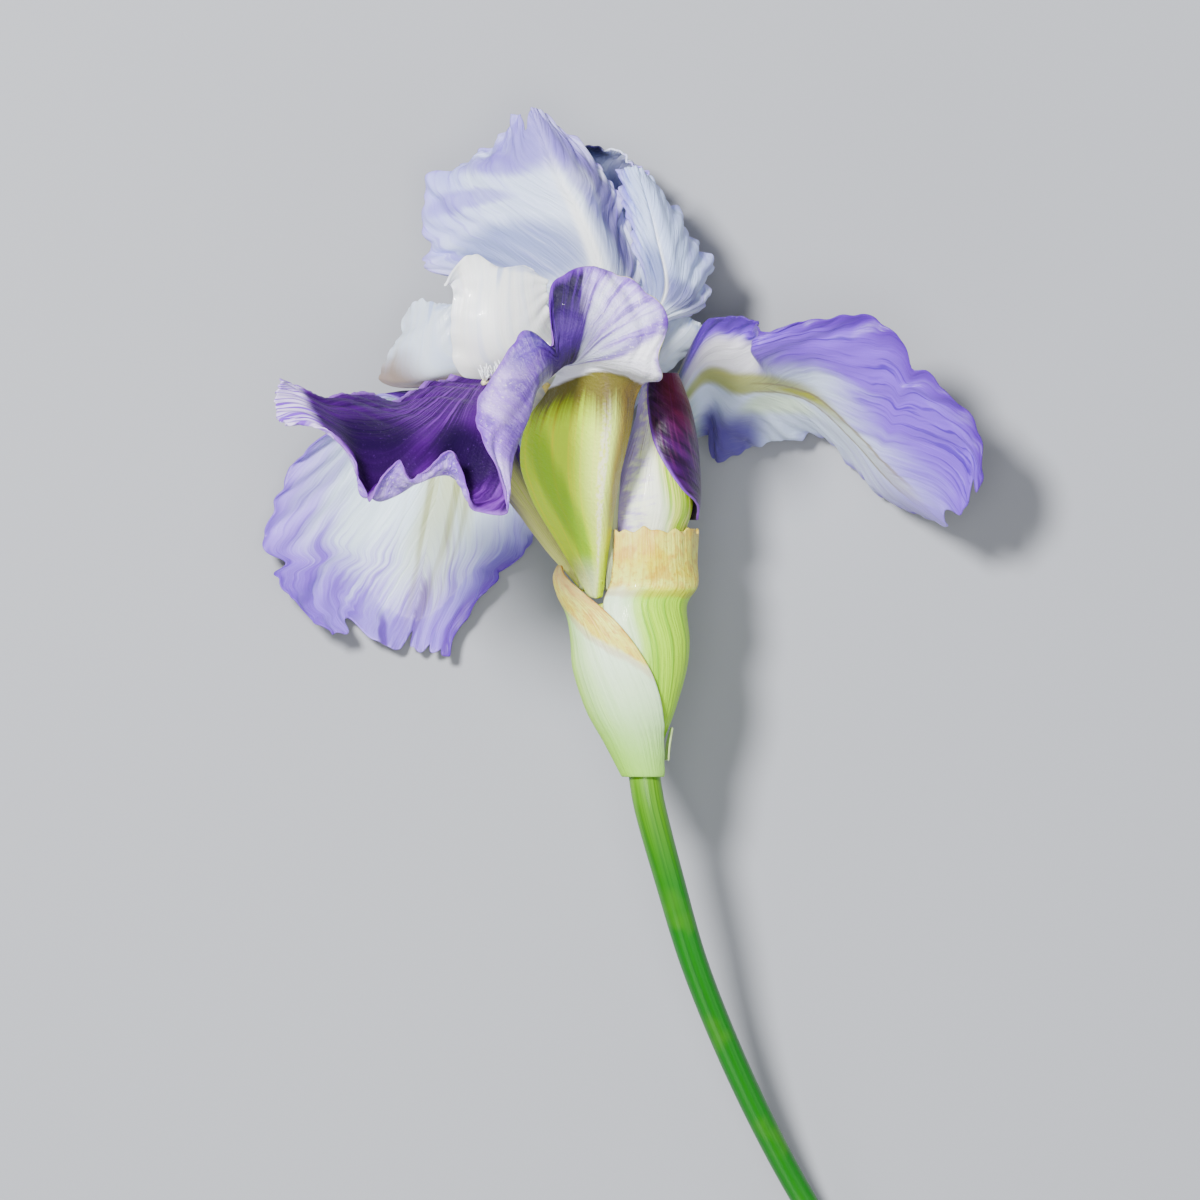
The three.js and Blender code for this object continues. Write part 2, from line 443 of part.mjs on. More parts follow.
const STYLE_LEFT = [
  [[-2, 1.8, -0.9], [-1.8, 1.8, -0.4], [-1.6, 1.8, -0.1], [-1.4, 1.8, 0.2], [-1.2, 1.9, 0.5]],
  [[-5.6, 19.4, -4.6], [-5, 20, -3.6], [-4, 20.6, -3.4], [-3, 21, -3.6], [-2.2, 21.4, -4.4]],
  [[-14.4, 34, -11.6], [-13.4, 36, -9.6], [-11.4, 38, -8.6], [-9.6, 40, -8.8], [-8.4, 42, -10]],
  [[-27, 41.4, -15.4], [-25.4, 44, -13], [-23, 46.6, -11.4], [-20.4, 50, -11], [-18.6, 53, -12.4]],
  [[-43.6, 43.6, -17.4], [-39, 44, -14.4], [-34, 45.6, -11.6], [-29.4, 50.4, -10], [-26.4, 54, -11]],
  [[-43.4, 47.6, -17], [-39.4, 50, -13.4], [-35, 52, -11], [-31, 55, -9.8], [-28, 58, -10.4]],
  [[-40.6, 52.4, -16.4], [-37.6, 55, -13.4], [-34, 57.4, -11.4], [-31.4, 58.4, -10.6], [-29.4, 59, -10.6]],
  [[-39.2, 57.4, -17], [-36.6, 61.2, -14.4], [-33.6, 60, -13], [-31.4, 59.4, -12], [-29.6, 59, -11.6]],
];
const STYLE_RIGHT = [
  [[0.8, 1.9, 0.8], [1.1, 1.8, 0.4], [1.3, 1.8, 0], [1.3, 1.8, -0.5], [1.1, 1.8, -0.9]],
  [[-2.2, 20, -5], [-1.4, 20.2, -4.4], [-0.6, 20.4, -4.2], [0, 20.4, -4.6], [0.4, 20.4, -5.4]],
  [[2.4, 38, -9.4], [3.4, 38.2, -8.2], [4.6, 38.4, -7.8], [5.6, 38.2, -8.4], [6.4, 37.8, -9.6]],
  [[8, 49, -12.2], [9.6, 48.8, -10.8], [11.6, 48.4, -10.4], [13.4, 47.6, -11.2], [14.6, 46.8, -12.6]],
  [[13, 56.4, -12.4], [15, 55.8, -11], [17.2, 54.4, -10.2], [19, 52.8, -11], [20.2, 51.4, -12.4]],
  [[13.8, 58.6, -12.8], [16.4, 57.6, -11.8], [18.4, 56.6, -11.2], [20, 55.8, -11.8], [21, 54.8, -12.8]],
];
const STYLES = { style_front: STYLE_FRONT, style_left: STYLE_LEFT, style_right: STYLE_RIGHT };
for (const [name, ribs] of Object.entries(STYLES)) {
  place(name, sheet(ribbed(ribs), { rows: 12, cols: 7 }), STYLE_WHITE);
}

// ---- Stamens: a filament and its long anther, one rod under each style arm
const STAMEN_ROUTES = {
  stamen_front: [[-1.2, 4, 2.9], [-2.4, 20, 6.8], [-5.4, 32, 10.4], [-8.4, 39, 13], [-11, 43, 14.6]],
  stamen_left: [[-2.4, 4, -2], [-6, 20, -7], [-13, 34, -13.4], [-20, 41, -17], [-24, 43, -18]],
  stamen_right: [[1.2, 4, -2.4], [0.4, 20, -7.9], [2.8, 33, -11.2], [8.2, 43, -13.4], [12.4, 47.4, -14]],
};
for (const [name, route] of Object.entries(STAMEN_ROUTES)) {
  place(name, rod(route, STAMEN_RADII, { steps: 8, sides: 5 }), POLLEN);
}

// ---- Beards: a low ribbon on each fall's midrib with a brush of hairs standing on it
const BEARDS = {
  beard_front: { ribs: FALL_FRONT, from: 0.26, to: 0.585, middle: 0.24, side: -1 },
  beard_left: { ribs: FALL_LEFT, from: 0.28, to: 0.47, middle: 0.5, side: 1 },
  beard_right: { ribs: FALL_RIGHT, from: 0.2, to: 0.44, middle: 0.5, side: 1 },
};
const BEARD_ROWS = 13;
for (const [name, { ribs, from, to, middle, side }] of Object.entries(BEARDS)) {
  const skin = ribbed(ribs);
  const step = 0.01;
  const stand = (u, v, height) => {
    const point = skin(u, v);
    const down = skin(u + step, v).sub(skin(u - step, v));
    const across = skin(u, v + step).sub(skin(u, v - step));
    const normal = across.cross(down).normalize();
    return { point: point.addScaledVector(normal, side * height), normal: normal.multiplyScalar(side) };
  };
  const seat = PETAL_THICK / 2 + GAP + RIBBON_RADIUS;
  const route = Array.from({ length: 7 }, (_, i) =>
    stand(from + ((to - from) * i) / 6, middle, seat).point.toArray());
  let brush = solidOf(rod(route, route.map(() => RIBBON_RADIUS), { steps: 8, sides: 6 }));
  for (let i = 0; i < BEARD_ROWS; i += 1) {
    const u = from + ((to - from) * (i + 0.5)) / BEARD_ROWS;
    for (const lean of HAIR_LEANS) {
      const { point, normal } = stand(u, middle, seat);
      const across = skin(u, middle + step).sub(skin(u, middle - step)).normalize();
      const aim = normal.clone().addScaledVector(across, lean).normalize();
      const length = HAIR_LENGTH * (0.8 + 0.2 * Math.sin(7 * i + 3 * lean));
      const hair = new THREE.ConeGeometry(HAIR_RADIUS, length, 3);
      hair.applyQuaternion(new THREE.Quaternion().setFromUnitVectors(new THREE.Vector3(0, 1, 0), aim));
      const root = point.addScaledVector(aim, length / 2);
      hair.translate(root.x, root.y, root.z);
      brush = brush.add(solidOf(hair));
    }
  }
  place(name, geometryOf(brush), BEARD_WHITE);
}

// ---- The origin goes to the middle of the underside
const box = new THREE.Box3().setFromObject(group);
const middle = box.getCenter(new THREE.Vector3());
group.position.set(-middle.x, -middle.y, -box.min.z);
group.updateMatrixWorld(true);

export default group;
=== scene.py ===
# A cut bearded iris lying on its back: an open white and violet bloom, a furled bud beside it,
# the spathe that holds both and a bowed green stem. Metres in the frame, millimetres in the lists.
import math
import random
import bmesh
import bpy
from mathutils import Matrix, Vector


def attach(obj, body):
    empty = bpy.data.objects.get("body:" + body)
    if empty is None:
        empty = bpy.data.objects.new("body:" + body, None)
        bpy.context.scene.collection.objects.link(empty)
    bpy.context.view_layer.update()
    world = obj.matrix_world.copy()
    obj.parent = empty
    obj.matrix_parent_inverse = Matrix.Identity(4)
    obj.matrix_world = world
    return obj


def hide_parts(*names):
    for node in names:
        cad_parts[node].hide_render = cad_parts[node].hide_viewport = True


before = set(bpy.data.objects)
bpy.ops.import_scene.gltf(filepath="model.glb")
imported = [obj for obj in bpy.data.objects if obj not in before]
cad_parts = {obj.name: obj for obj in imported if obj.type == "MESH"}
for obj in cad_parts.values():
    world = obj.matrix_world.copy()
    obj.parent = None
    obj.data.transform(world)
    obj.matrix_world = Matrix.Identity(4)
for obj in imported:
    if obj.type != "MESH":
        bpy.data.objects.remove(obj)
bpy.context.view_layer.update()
random.seed(7)

# ---- Floor, light and camera
# A plain pale floor and soft light from above, stronger from the left. The camera looks
# straight down on the lying flower from far off, as the photograph faces its side.
FLOWER_ZERO = Vector((-4.39, 25.06, 38.00))  # where the petals join, in mm in the frame
FRAME_WIDTH = 0.240  # metres of the flower's plane that the photograph's width takes in
CAMERA_AWAY = 3.0  # metres above that plane
SENSOR = 36.0
FLOOR_HALF = 3.0
FLOOR_DROP = 0.0002  # the floor lies this far under the flower's lowest point


def add_lamp(name, place, size, watts, colour):
    lamp = bpy.data.lights.new(name, "AREA")
    lamp.shape = "DISK"
    lamp.size = size
    lamp.energy = watts
    lamp.color = colour
    holder = bpy.data.objects.new(name, lamp)
    holder.location = place
    holder.rotation_euler = (-Vector(place)).to_track_quat("-Z", "Y").to_euler()
    bpy.context.collection.objects.link(holder)


add_lamp("key_light", (-0.38, 0.38, 1.08), 0.22, 32.0, (1.0, 0.985, 0.97))
add_lamp("front_light", (0.02, -0.06, 1.40), 0.60, 9.0, (1.0, 0.99, 0.98))
add_lamp("fill_light", (0.85, -0.30, 0.70), 0.9, 3.0, (0.93, 0.96, 1.0))
add_lamp("low_light", (-0.25, -0.85, 0.50), 0.6, 2.5, (0.98, 0.98, 1.0))
sky = bpy.data.worlds.new("soft_room")
sky.use_nodes = True
sky.node_tree.nodes["Background"].inputs["Color"].default_value = (0.86, 0.90, 1.0, 1.0)
sky.node_tree.nodes["Background"].inputs["Strength"].default_value = 0.10
bpy.context.scene.world = sky

eye = bpy.data.cameras.new("camera")
eye.sensor_width = SENSOR
eye.lens = SENSOR * CAMERA_AWAY / FRAME_WIDTH
camera = bpy.data.objects.new("camera", eye)
camera.location = (FLOWER_ZERO.x / 1000, FLOWER_ZERO.y / 1000, FLOWER_ZERO.z / 1000 + CAMERA_AWAY)
bpy.context.collection.objects.link(camera)
bpy.context.scene.camera = camera


class Value:
    """A shader socket that takes part in sums."""

    def __init__(self, finish, socket):
        self.finish = finish
        self.socket = socket

    def sum(self, operation, *others):
        return self.finish.node("ShaderNodeMath", {"operation": operation}, dict(enumerate(others)))

    def __add__(self, other):
        return self.sum("ADD", self, other)

    def __sub__(self, other):
        return self.sum("SUBTRACT", self, other)

    def __rsub__(self, other):
        return self.sum("SUBTRACT", other, self)

    def __mul__(self, other):
        return self.sum("MULTIPLY", self, other)

    def __truediv__(self, other):
        return self.sum("DIVIDE", self, other)

    def __pow__(self, other):
        return self.sum("POWER", self, other)

    def size(self):
        return self.sum("ABSOLUTE", self)

    def most(self, other):
        return self.sum("MAXIMUM", self, other)

    def under(self, share, *screen):
        """This colour with a share of another, given as screen values, laid over it."""
        return self.finish.mix(share, self, linear(*screen))

    __radd__ = __add__
    __rmul__ = __mul__


# how much light a screen value stands for, how far a colour moves away from grey and how far
# a dark strong one is deepened
FILM_POWER, FILM_STRENGTH, FILM_DARK = 2.7, 1.35, 0.25


def linear(*screen):
    """A colour given as 0 to 255 screen values, as the light values that a shader takes.
    Dark and strong colours are deepened, because a soft film curve pales them again."""
    light = [(value / 255) ** FILM_POWER for value in screen]
    grey = 0.21 * light[0] + 0.72 * light[1] + 0.07 * light[2]
    strength = (1 - min(light) / max(light)) * (1 - max(light))
    dim = 1 - FILM_DARK * strength
    deep = [min(max(grey + (value - grey) * FILM_STRENGTH, 0.0) * dim, 1.0) for value in light]
    return (*deep, 1.0)


FLESH_DEPTH = (0.0012, 0.0009, 0.0012)  # metres that red, green and blue light goes into flesh


class Finish:
    """A material that is built up node by node on one principled surface."""

    def __init__(self, name, roughness, sheen=0.0, soft=0.0, coat=0.0, gloss=0.35):
        self.material = bpy.data.materials.new(name)
        self.material.use_nodes = True
        self.nodes = self.material.node_tree.nodes
        self.links = self.material.node_tree.links
        self.skin = self.nodes["Principled BSDF"]
        self.skin.inputs["Roughness"].default_value = roughness
        self.skin.inputs["Specular IOR Level"].default_value = gloss
        self.skin.inputs["Sheen Weight"].default_value = sheen
        self.skin.inputs["Subsurface Weight"].default_value = soft
        self.skin.inputs["Subsurface Radius"].default_value = FLESH_DEPTH
        self.skin.inputs["Subsurface Scale"].default_value = 1.0
        self.skin.inputs["Coat Weight"].default_value = coat

    def node(self, kind, settings=None, sockets=None, out=0):
        made = self.nodes.new(kind)
        for key, value in (settings or {}).items():
            setattr(made, key, value)
        for key, value in (sockets or {}).items():
            if isinstance(value, Value):
                self.links.new(value.socket, made.inputs[key])
            else:
                made.inputs[key].default_value = value
        return Value(self, made.outputs[out])

    def mix(self, share, first, second):
        return self.node("ShaderNodeMix", {"data_type": "RGBA", "clamp_factor": True},
                         {0: share, 6: first, 7: second}, out=2)

    def blend(self, value, low, high, first, second):
        """Two screen colours: the first one up to low, the second one from high on."""
        return self.mix(self.ease(value, low, high), linear(*first), linear(*second))

    def ease(self, value, low, high):
        """0 at low, 1 at high and a soft step between them; low may be the greater one."""
        return self.node("ShaderNodeMapRange", {"interpolation_type": "SMOOTHSTEP"},
                         {"Value": value, "From Min": low, "From Max": high})

    def sheet_place(self):
        """How far along a sheet, from base to tip, and how far across it."""
        uv = self.node("ShaderNodeUVMap", {"uv_map": "UVMap"})
        split = self.node("ShaderNodeSeparateXYZ", None, {0: uv})
        return split, Value(self, split.socket.node.outputs[1])

    def cloud(self, x, y, z, detail=3.0):
        """Soft noise from three numbers, about 0.5 on average."""
        spot = self.node("ShaderNodeCombineXYZ", None, {0: x, 1: y, 2: z})
        return self.node("ShaderNodeTexNoise", None,
                         {"Vector": spot, "Scale": 1.0, "Detail": detail, "Roughness": 0.55})

    def grain(self, scale, detail=2.0):
        """Noise that is fixed to the flower itself."""
        spot = self.node("ShaderNodeTexCoord", out=3)
        return self.node("ShaderNodeTexNoise", None,
                         {"Vector": spot, "Scale": scale, "Detail": detail, "Roughness": 0.6})

    def patch(self, u, v, at, size):
        """1 inside a soft oval of the sheet, 0 well outside it."""
        far = ((u - at[0]) / size[0]) ** 2.0 + ((v - at[1]) / size[1]) ** 2.0
        return self.ease(far, 1.5, 0.25)

    def paint(self, colour, height=None, strength=0.3, depth=0.0002, roughness=None):
        """The finished material: a colour, bumps of a depth in metres and an uneven shine."""
        self.links.new(colour.socket, self.skin.inputs["Base Color"])
        if height is not None:
            bump = self.node("ShaderNodeBump", None,
                             {"Strength": strength, "Distance": depth, "Height": height})
            self.links.new(bump.socket, self.skin.inputs["Normal"])
        if roughness is not None:
            self.links.new(roughness.socket, self.skin.inputs["Roughness"])
        return self.material


floor_mesh = bpy.data.meshes.new("floor")
bench = bmesh.new()
bmesh.ops.create_grid(bench, x_segments=2, y_segments=2, size=FLOOR_HALF)
bench.to_mesh(floor_mesh)
bench.free()
floor_mesh.transform(Matrix.Translation((0, 0, -FLOOR_DROP)))
floor = bpy.data.objects.new("floor", floor_mesh)
bpy.context.collection.objects.link(floor)
plaster = Finish("floor_plaster", 0.85)
shade = plaster.mix(plaster.grain(3.0), linear(170, 172, 177), linear(177, 179, 183))
floor_mesh.materials.append(plaster.paint(shade))

# ---- Stem
# The cut flowering stem: one solid green rod, thickest under the spathe, bowed to the right
# and sunk to the surface at its cut end, with fine lengthwise streaks and a waxy bloom.
STEM_ROUTE = [
  [8.7, -34, 0], [10.1, -42, -0.5], [13.9, -56, -3], [18.6, -72, -8], [24.8, -88, -14.5],
  [32.1, -104, -21.5], [40, -119, -28], [49.5, -134.5, -33], [59, -148, -35.3],
]
STEM_RADII = [3.2, 3.2, 3.0, 2.8, 2.7, 2.6, 2.5, 2.45, 2.5]


def along(stops, t):
    """A smooth curve through a list of vectors or numbers, at t from 0 to 1."""
    last = len(stops) - 1
    place = min(max(t, 0.0), 1.0) * last
    k = min(int(place), last - 1)
    s = place - k
    b, c = stops[k], stops[k + 1]
    a = stops[k - 1] if k > 0 else 2 * b - c
    d = stops[k + 2] if k + 2 <= last else 2 * c - b
    return b + 0.5 * s * (c - a + s * (2 * a - 5 * b + 4 * c - d + s * (3 * (b - c) + d - a)))


def finish_piece(name, build, node, materials, subdivide=1, thick=None):
    """Makes an object of a bmesh in mm, moves it into the frame and hangs it on the flower."""
    mesh = bpy.data.meshes.new(name)
    build.to_mesh(mesh)
    build.free()
    mesh.transform(Matrix.Scale(0.001, 4) @ Matrix.Translation(FLOWER_ZERO))
    for material in materials:
        mesh.materials.append(material)
    for face in mesh.polygons:
        face.use_smooth = True
    piece = bpy.data.objects.new(name, mesh)
    bpy.context.collection.objects.link(piece)
    if thick:
        wall = piece.modifiers.new("wall", "SOLIDIFY")
        wall.thickness = thick / 1000
        wall.offset = 0.0
        wall.use_even_offset = False
        if len(materials) > 1:
            wall.material_offset = 1
    if subdivide:
        smooth = piece.modifiers.new("smooth", "SUBSURF")
        smooth.levels = subdivide
        smooth.render_levels = subdivide
    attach(piece, "root")
    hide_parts(node)


def rod(route, radii, steps, sides):
    """A closed round bar drawn along a route, with a radius at each stop of the route."""
    route = [Vector(stop) for stop in route]
    bar = bmesh.new()
    grain = bar.verts.layers.float_vector.new("grain")
    made = bmesh.ops.create_circle(bar, cap_ends=True, segments=sides, radius=1.0)
    ring = made["verts"]
    spots = [along(route, i / steps) for i in range(steps + 1)]
    wide = [along(radii, i / steps) for i in range(steps + 1)]
    heading = Vector((0, 0, 1))
    centre = Vector((0, 0, 0))
    radius = 1.0
    for k, vert in enumerate(ring):
        turn = math.atan2(vert.co.y, vert.co.x)
        vert[grain] = (math.cos(turn), math.sin(turn), 0)
    face = bar.faces[:][0]
    for i in range(steps + 1):
        ahead = (spots[min(i + 1, steps)] - spots[max(i - 1, 0)]).normalized()
        if i > 0:
            made = bmesh.ops.extrude_face_region(bar, geom=[face])
            if i > 1:
                bmesh.ops.delete(bar, geom=[face], context="FACES_ONLY")
            ring = [part for part in made["geom"] if isinstance(part, bmesh.types.BMVert)]
            face = [part for part in made["geom"] if isinstance(part, bmesh.types.BMFace)][0]
        turn = heading.rotation_difference(ahead).to_matrix().to_4x4()
        grow = Matrix.Scale(wide[i] / radius, 4)
        shift = Matrix.Translation(spots[i]) @ turn @ grow @ Matrix.Translation(-centre)
        bmesh.ops.transform(bar, matrix=shift, verts=ring)
        for vert in ring:
            vert[grain].z = i / steps
        heading, centre, radius = ahead, spots[i], wide[i]
    bmesh.ops.recalc_face_normals(bar, faces=bar.faces)
    return bar


def bar_place(finish):
    """Across, across and along a rod, from its grain."""
    grain = finish.node("ShaderNodeAttribute", {"attribute_name": "grain"}, out=1)
    split = finish.node("ShaderNodeSeparateXYZ", None, {0: grain})
    return [Value(finish, split.socket.node.outputs[k]) for k in range(3)]


wax = Finish("stem_green", 0.42, coat=0.12, soft=0.05)
x, y, z = bar_place(wax)
streaks = wax.cloud(x * 6.0, y * 6.0, z * 2.5, detail=4.0)
blotches = wax.grain(90.0)
green = wax.blend(z, 0.0, 0.30, (136, 176, 74), (66, 136, 24))
green = green.under(wax.ease(streaks, 0.42, 0.7) * 0.6, 40, 108, 16)
green = green.under(wax.ease(blotches, 0.5, 0.75) * 0.35, 122, 166, 50)
cut = wax.ease(z, 0.992, 0.997)
green = green.under(cut, 196, 210, 150)
stem_green = wax.paint(green, streaks + blotches * 0.3, 0.25, 0.0004)
finish_piece("stem_rod", rod(STEM_ROUTE, STEM_RADII, steps=64, sides=24), "stem", [stem_green])

# ---- Ovary and floral tube
# The pale green swelling on top of the stem and the tube above it, grown as one rod. They
# stand inside the spathe and carry the six petals of the open bloom.
OVARY_ROUTE = [[8.5, -33.6, 0], [6.5, -26, 0], [4, -14, 0], [1.6, -6, 0], [0.4, -0.6, 0]]
OVARY_RADII = [1.9, 3.1, 3.4, 2.9, 3.3]
flesh = Finish("ovary_flesh", 0.45, soft=0.08)
x, y, z = bar_place(flesh)
lobes = flesh.cloud(x * 3.0, y * 3.0, z * 1.5)
tint = flesh.blend(z, 0.3, 1.0, (130, 180, 70), (232, 244, 160))
tint = tint.under(flesh.ease(lobes, 0.4, 0.7) * 0.5, 92, 140, 52)
ovary_flesh = flesh.paint(tint, lobes, 0.4)
finish_piece("ovary_body", rod(OVARY_ROUTE, OVARY_RADII, steps=30, sides=20), "ovary_tube",
             [ovary_flesh])

# ---- Spathe
# Two clasping green valves and a thin dry sliver at their foot. Each valve is one curved
# leaf, ribbed lengthwise; its upper edge has dried to a straw-coloured paper.
BRACT_THICK = 0.5
SLIVER_THICK = 0.4
BRACT_LEFT = [
  [-35.4, 8.9, -0.1, 4.3, 4.3, 25, 300],
  [-28.5, 7.4, 0, 6.4, 6.1, 33, 290],
  [-22, 6.6, 0, 9.2, 8.0, 50, 280],
  [-14, 6.5, 0, 11.7, 9.4, 72, 262],
  [-8, 6.4, 0, 12.1, 9.8, 90, 250],
  [-3, 5.8, 0, 12.3, 9.6, 108, 236],
  [1, 3.6, 0, 12.0, 9.0, 122, 222],
  [4.5, 2.0, 0, 11.2, 8.2, 140, 208],
  [7, 1.4, 0, 9.6, 7.4, 160, 196],
]
BRACT_RIGHT = [
  [-32.9, 8.6, 0, 3.0, 3.0, -130, 100],
  [-28.5, 7.8, 0, 4.6, 4.3, -130, 105],
  [-22, 7.2, 0, 7.6, 6.3, -125, 110],
  [-14, 7.0, 0, 10.1, 7.9, -120, 116],
  [-8, 7.1, 0, 10.6, 8.3, -118, 122],
  [-1, 7.4, -0.6, 9.8, 8.3, -112, 134],
  [3, 8.8, -2, 10.6, 8.4, -105, 131],
  [8, 9.3, -3.6, 9.9, 11, -96, 132],
  [15, 9.6, -4, 9.9, 11.4, -84, 132],
]
BRACT_SMALL = [
  [[13.1, -32.2, -0.6], [13.5, -32, 0.3], [13.7, -32.2, 1.2]],
  [[13.2, -29, -0.6], [13.9, -29, 0.6], [13.9, -29, 1.6]],
  [[14.2, -25.6, 0.2], [14.4, -25.4, 0.7], [14.5, -25.6, 1.2]],
]


def wrapped(profile, lift=0.0):
    """A sheet bent round an upright axis: rows of height, centre, half sizes and two angles."""
    rows = [Vector(row) for row in profile]

    def skin(u, v):
        y, centre, up, wide, deep, start, end = along(rows, u)
        turn = math.radians(start + (end - start) * v)
        out = lift * v
        return Vector((centre + (wide + out) * math.cos(turn), y, up + (deep + out) * math.sin(turn)))
    return skin


def ribbed(ribs):
    """A sheet through ribs that each cross it from one margin to the other."""
    rows = [[Vector(stop) for stop in rib] for rib in ribs]

    def skin(u, v):
        return along([along(row, v) for row in rows], u)
    return skin


PROBE = 0.004  # how far to each side a skin is felt for its slope
SHEET_FLOOR = -37.55  # the lowest that the middle of a petal may hang, in mm


def sheet(skin, rows, cols, wave=None, nick=None, tip=None):
    """An open sheet: a grid laid on a skin, waved along its normal and kept off the floor."""
    leaf = bmesh.new()
    leaf.loops.layers.uv.new("UVMap")
    bmesh.ops.create_grid(leaf, x_segments=rows, y_segments=cols, size=0.5, calc_uvs=True)
    for vert in leaf.verts:
        u, v = vert.co.x + 0.5, vert.co.y + 0.5
        lie = v
        reach = u
        if nick:
            lie = 0.5 + (v - 0.5) * (1 - nick(u, v))
        if tip:
            reach = u * (1 - tip(v) * u ** 4)
        point = skin(reach, lie)
        if wave:
            low, high = max(reach - PROBE, 0), min(reach + PROBE, 1)
            left, right = max(lie - PROBE, 0), min(lie + PROBE, 1)
            down = skin(high, lie) - skin(low, lie)
            across = skin(reach, right) - skin(reach, left)
            point = point + across.cross(down).normalized() * wave(u, v)
        point.z = max(point.z, SHEET_FLOOR)
        vert.co = point
    return leaf


def soft_noise(t, seed):
    """A smooth wandering value between about -1 and 1."""
    return (math.sin(t + seed) + math.sin(1.73 * t + 2.1 * seed) + math.sin(2.91 * t + 0.7 * seed)) / 2.2


def bract_finish(name, green_from, green_to, flap, slant):
    """A spathe valve, ribbed lengthwise: pale, greener to one side and papery past the flap."""
    finish = Finish(name, 0.42, soft=0.1, coat=0.05)
    u, v = finish.sheet_place()
    ribs = finish.cloud(v * 46.0, u * 1.2, 0.0, detail=4.0)
    wide_ribs = finish.cloud(v * 14.0, u * 0.8, 3.0)
    leafy = finish.ease(v + (wide_ribs - 0.5) * 0.12, green_from, green_to)
    tint = finish.mix(leafy, linear(234, 252, 230), linear(200, 236, 30))
    tint = tint.under(finish.ease(ribs, 0.46, 0.66) * (leafy * 0.55 + 0.12), 146, 194, 20)
    foot = finish.ease(u + (ribs - 0.5) * 0.1, 0.46, 0.0)
    tint = tint.under(foot * 0.85, 176, 222, 70)
    ragged = finish.cloud(v * 7.0, u * 7.0, 1.0, detail=6.0)
    specks = finish.cloud(v * 40.0, u * 36.0, 5.0, detail=7.0)
    past = u - v * slant - flap + (ragged - 0.5) * 0.10
    paper = finish.blend(ragged, 0.36, 0.64, (242, 246, 168), (234, 220, 134))
    tanned = finish.cloud(v * 11.0, u * 9.0, 13.0, detail=5.0)
    paper = paper.under(finish.ease(tanned, 0.49, 0.62) * 0.45, 216, 162, 112)
    paper = paper.under(finish.ease(specks, 0.50, 0.66) * 0.5, 206, 156, 92)
    wrinkles = finish.cloud(v * 52.0, u * 5.0, 9.0, detail=3.0)
    paper = paper.under(finish.ease(wrinkles, 0.50, 0.64) * 0.45, 214, 180, 112)
    paper = paper.under(finish.ease(past, 0.16, 0.40) * 0.45, 222, 176, 150)
    tint = finish.mix(finish.ease(past, -0.01, 0.05) * 0.92, tint, paper)
    line = finish.ease((past + 0.005).size(), 0.035, 0.005)
    tint = tint.under(line * 0.35, 196, 140, 100)
    edge = (v - 0.5).size() * 2.0 + (specks - 0.5) * 0.04
    tan = finish.ease(edge, 0.97, 1.0) * finish.ease(u, 0.35, 0.6)
    tint = tint.under(tan * 0.7, 190, 136, 92)
    return finish.paint(tint, ribs + specks * 0.4 + wrinkles * 0.5, 0.6, 0.0006)


left_skin = bract_finish("bract_left_skin", 0.18, 0.62, 0.36, 0.62)
right_skin = bract_finish("bract_right_skin", 0.92, 0.78, 0.70, 0.0)


def bract_wave(u, v):
    """Slow folds in a valve's papery top and a fine crimp along its margins."""
    folds = 0.30 * max(u - 0.55, 0) * soft_noise(19 * v + 9 * u, 1.0)
    return folds + 0.12 * abs(2 * v - 1) ** 6 * soft_noise(40 * u, 2.0)


def torn(v):
    """How far the ragged tip falls short, from one margin to the other."""
    return 0.012 * (1 + soft_noise(24 * v, 4.0)) + 0.010 * abs(soft_noise(58 * v, 2.0))


leaf = sheet(wrapped(BRACT_LEFT), rows=70, cols=60, wave=bract_wave, tip=lambda v: torn(v) * 0.6)
finish_piece("bract_left_leaf", leaf, "bract_left", [left_skin], thick=BRACT_THICK)
leaf = sheet(wrapped(BRACT_RIGHT), rows=80, cols=60, wave=bract_wave, tip=torn)
finish_piece("bract_right_leaf", leaf, "bract_right", [right_skin], thick=BRACT_THICK)
sliver = Finish("sliver_paper", 0.6, soft=0.1)
u, v = sliver.sheet_place()
lines = sliver.cloud(v * 12.0, u * 1.0, 0.0)
tint = sliver.mix(lines, linear(214, 226, 190), linear(170, 190, 140))
sliver_paper = sliver.paint(tint, lines, 0.4)
finish_piece("bract_small_leaf", sheet(ribbed(BRACT_SMALL), rows=16, cols=8), "bract_small",
             [sliver_paper], thick=SLIVER_THICK)

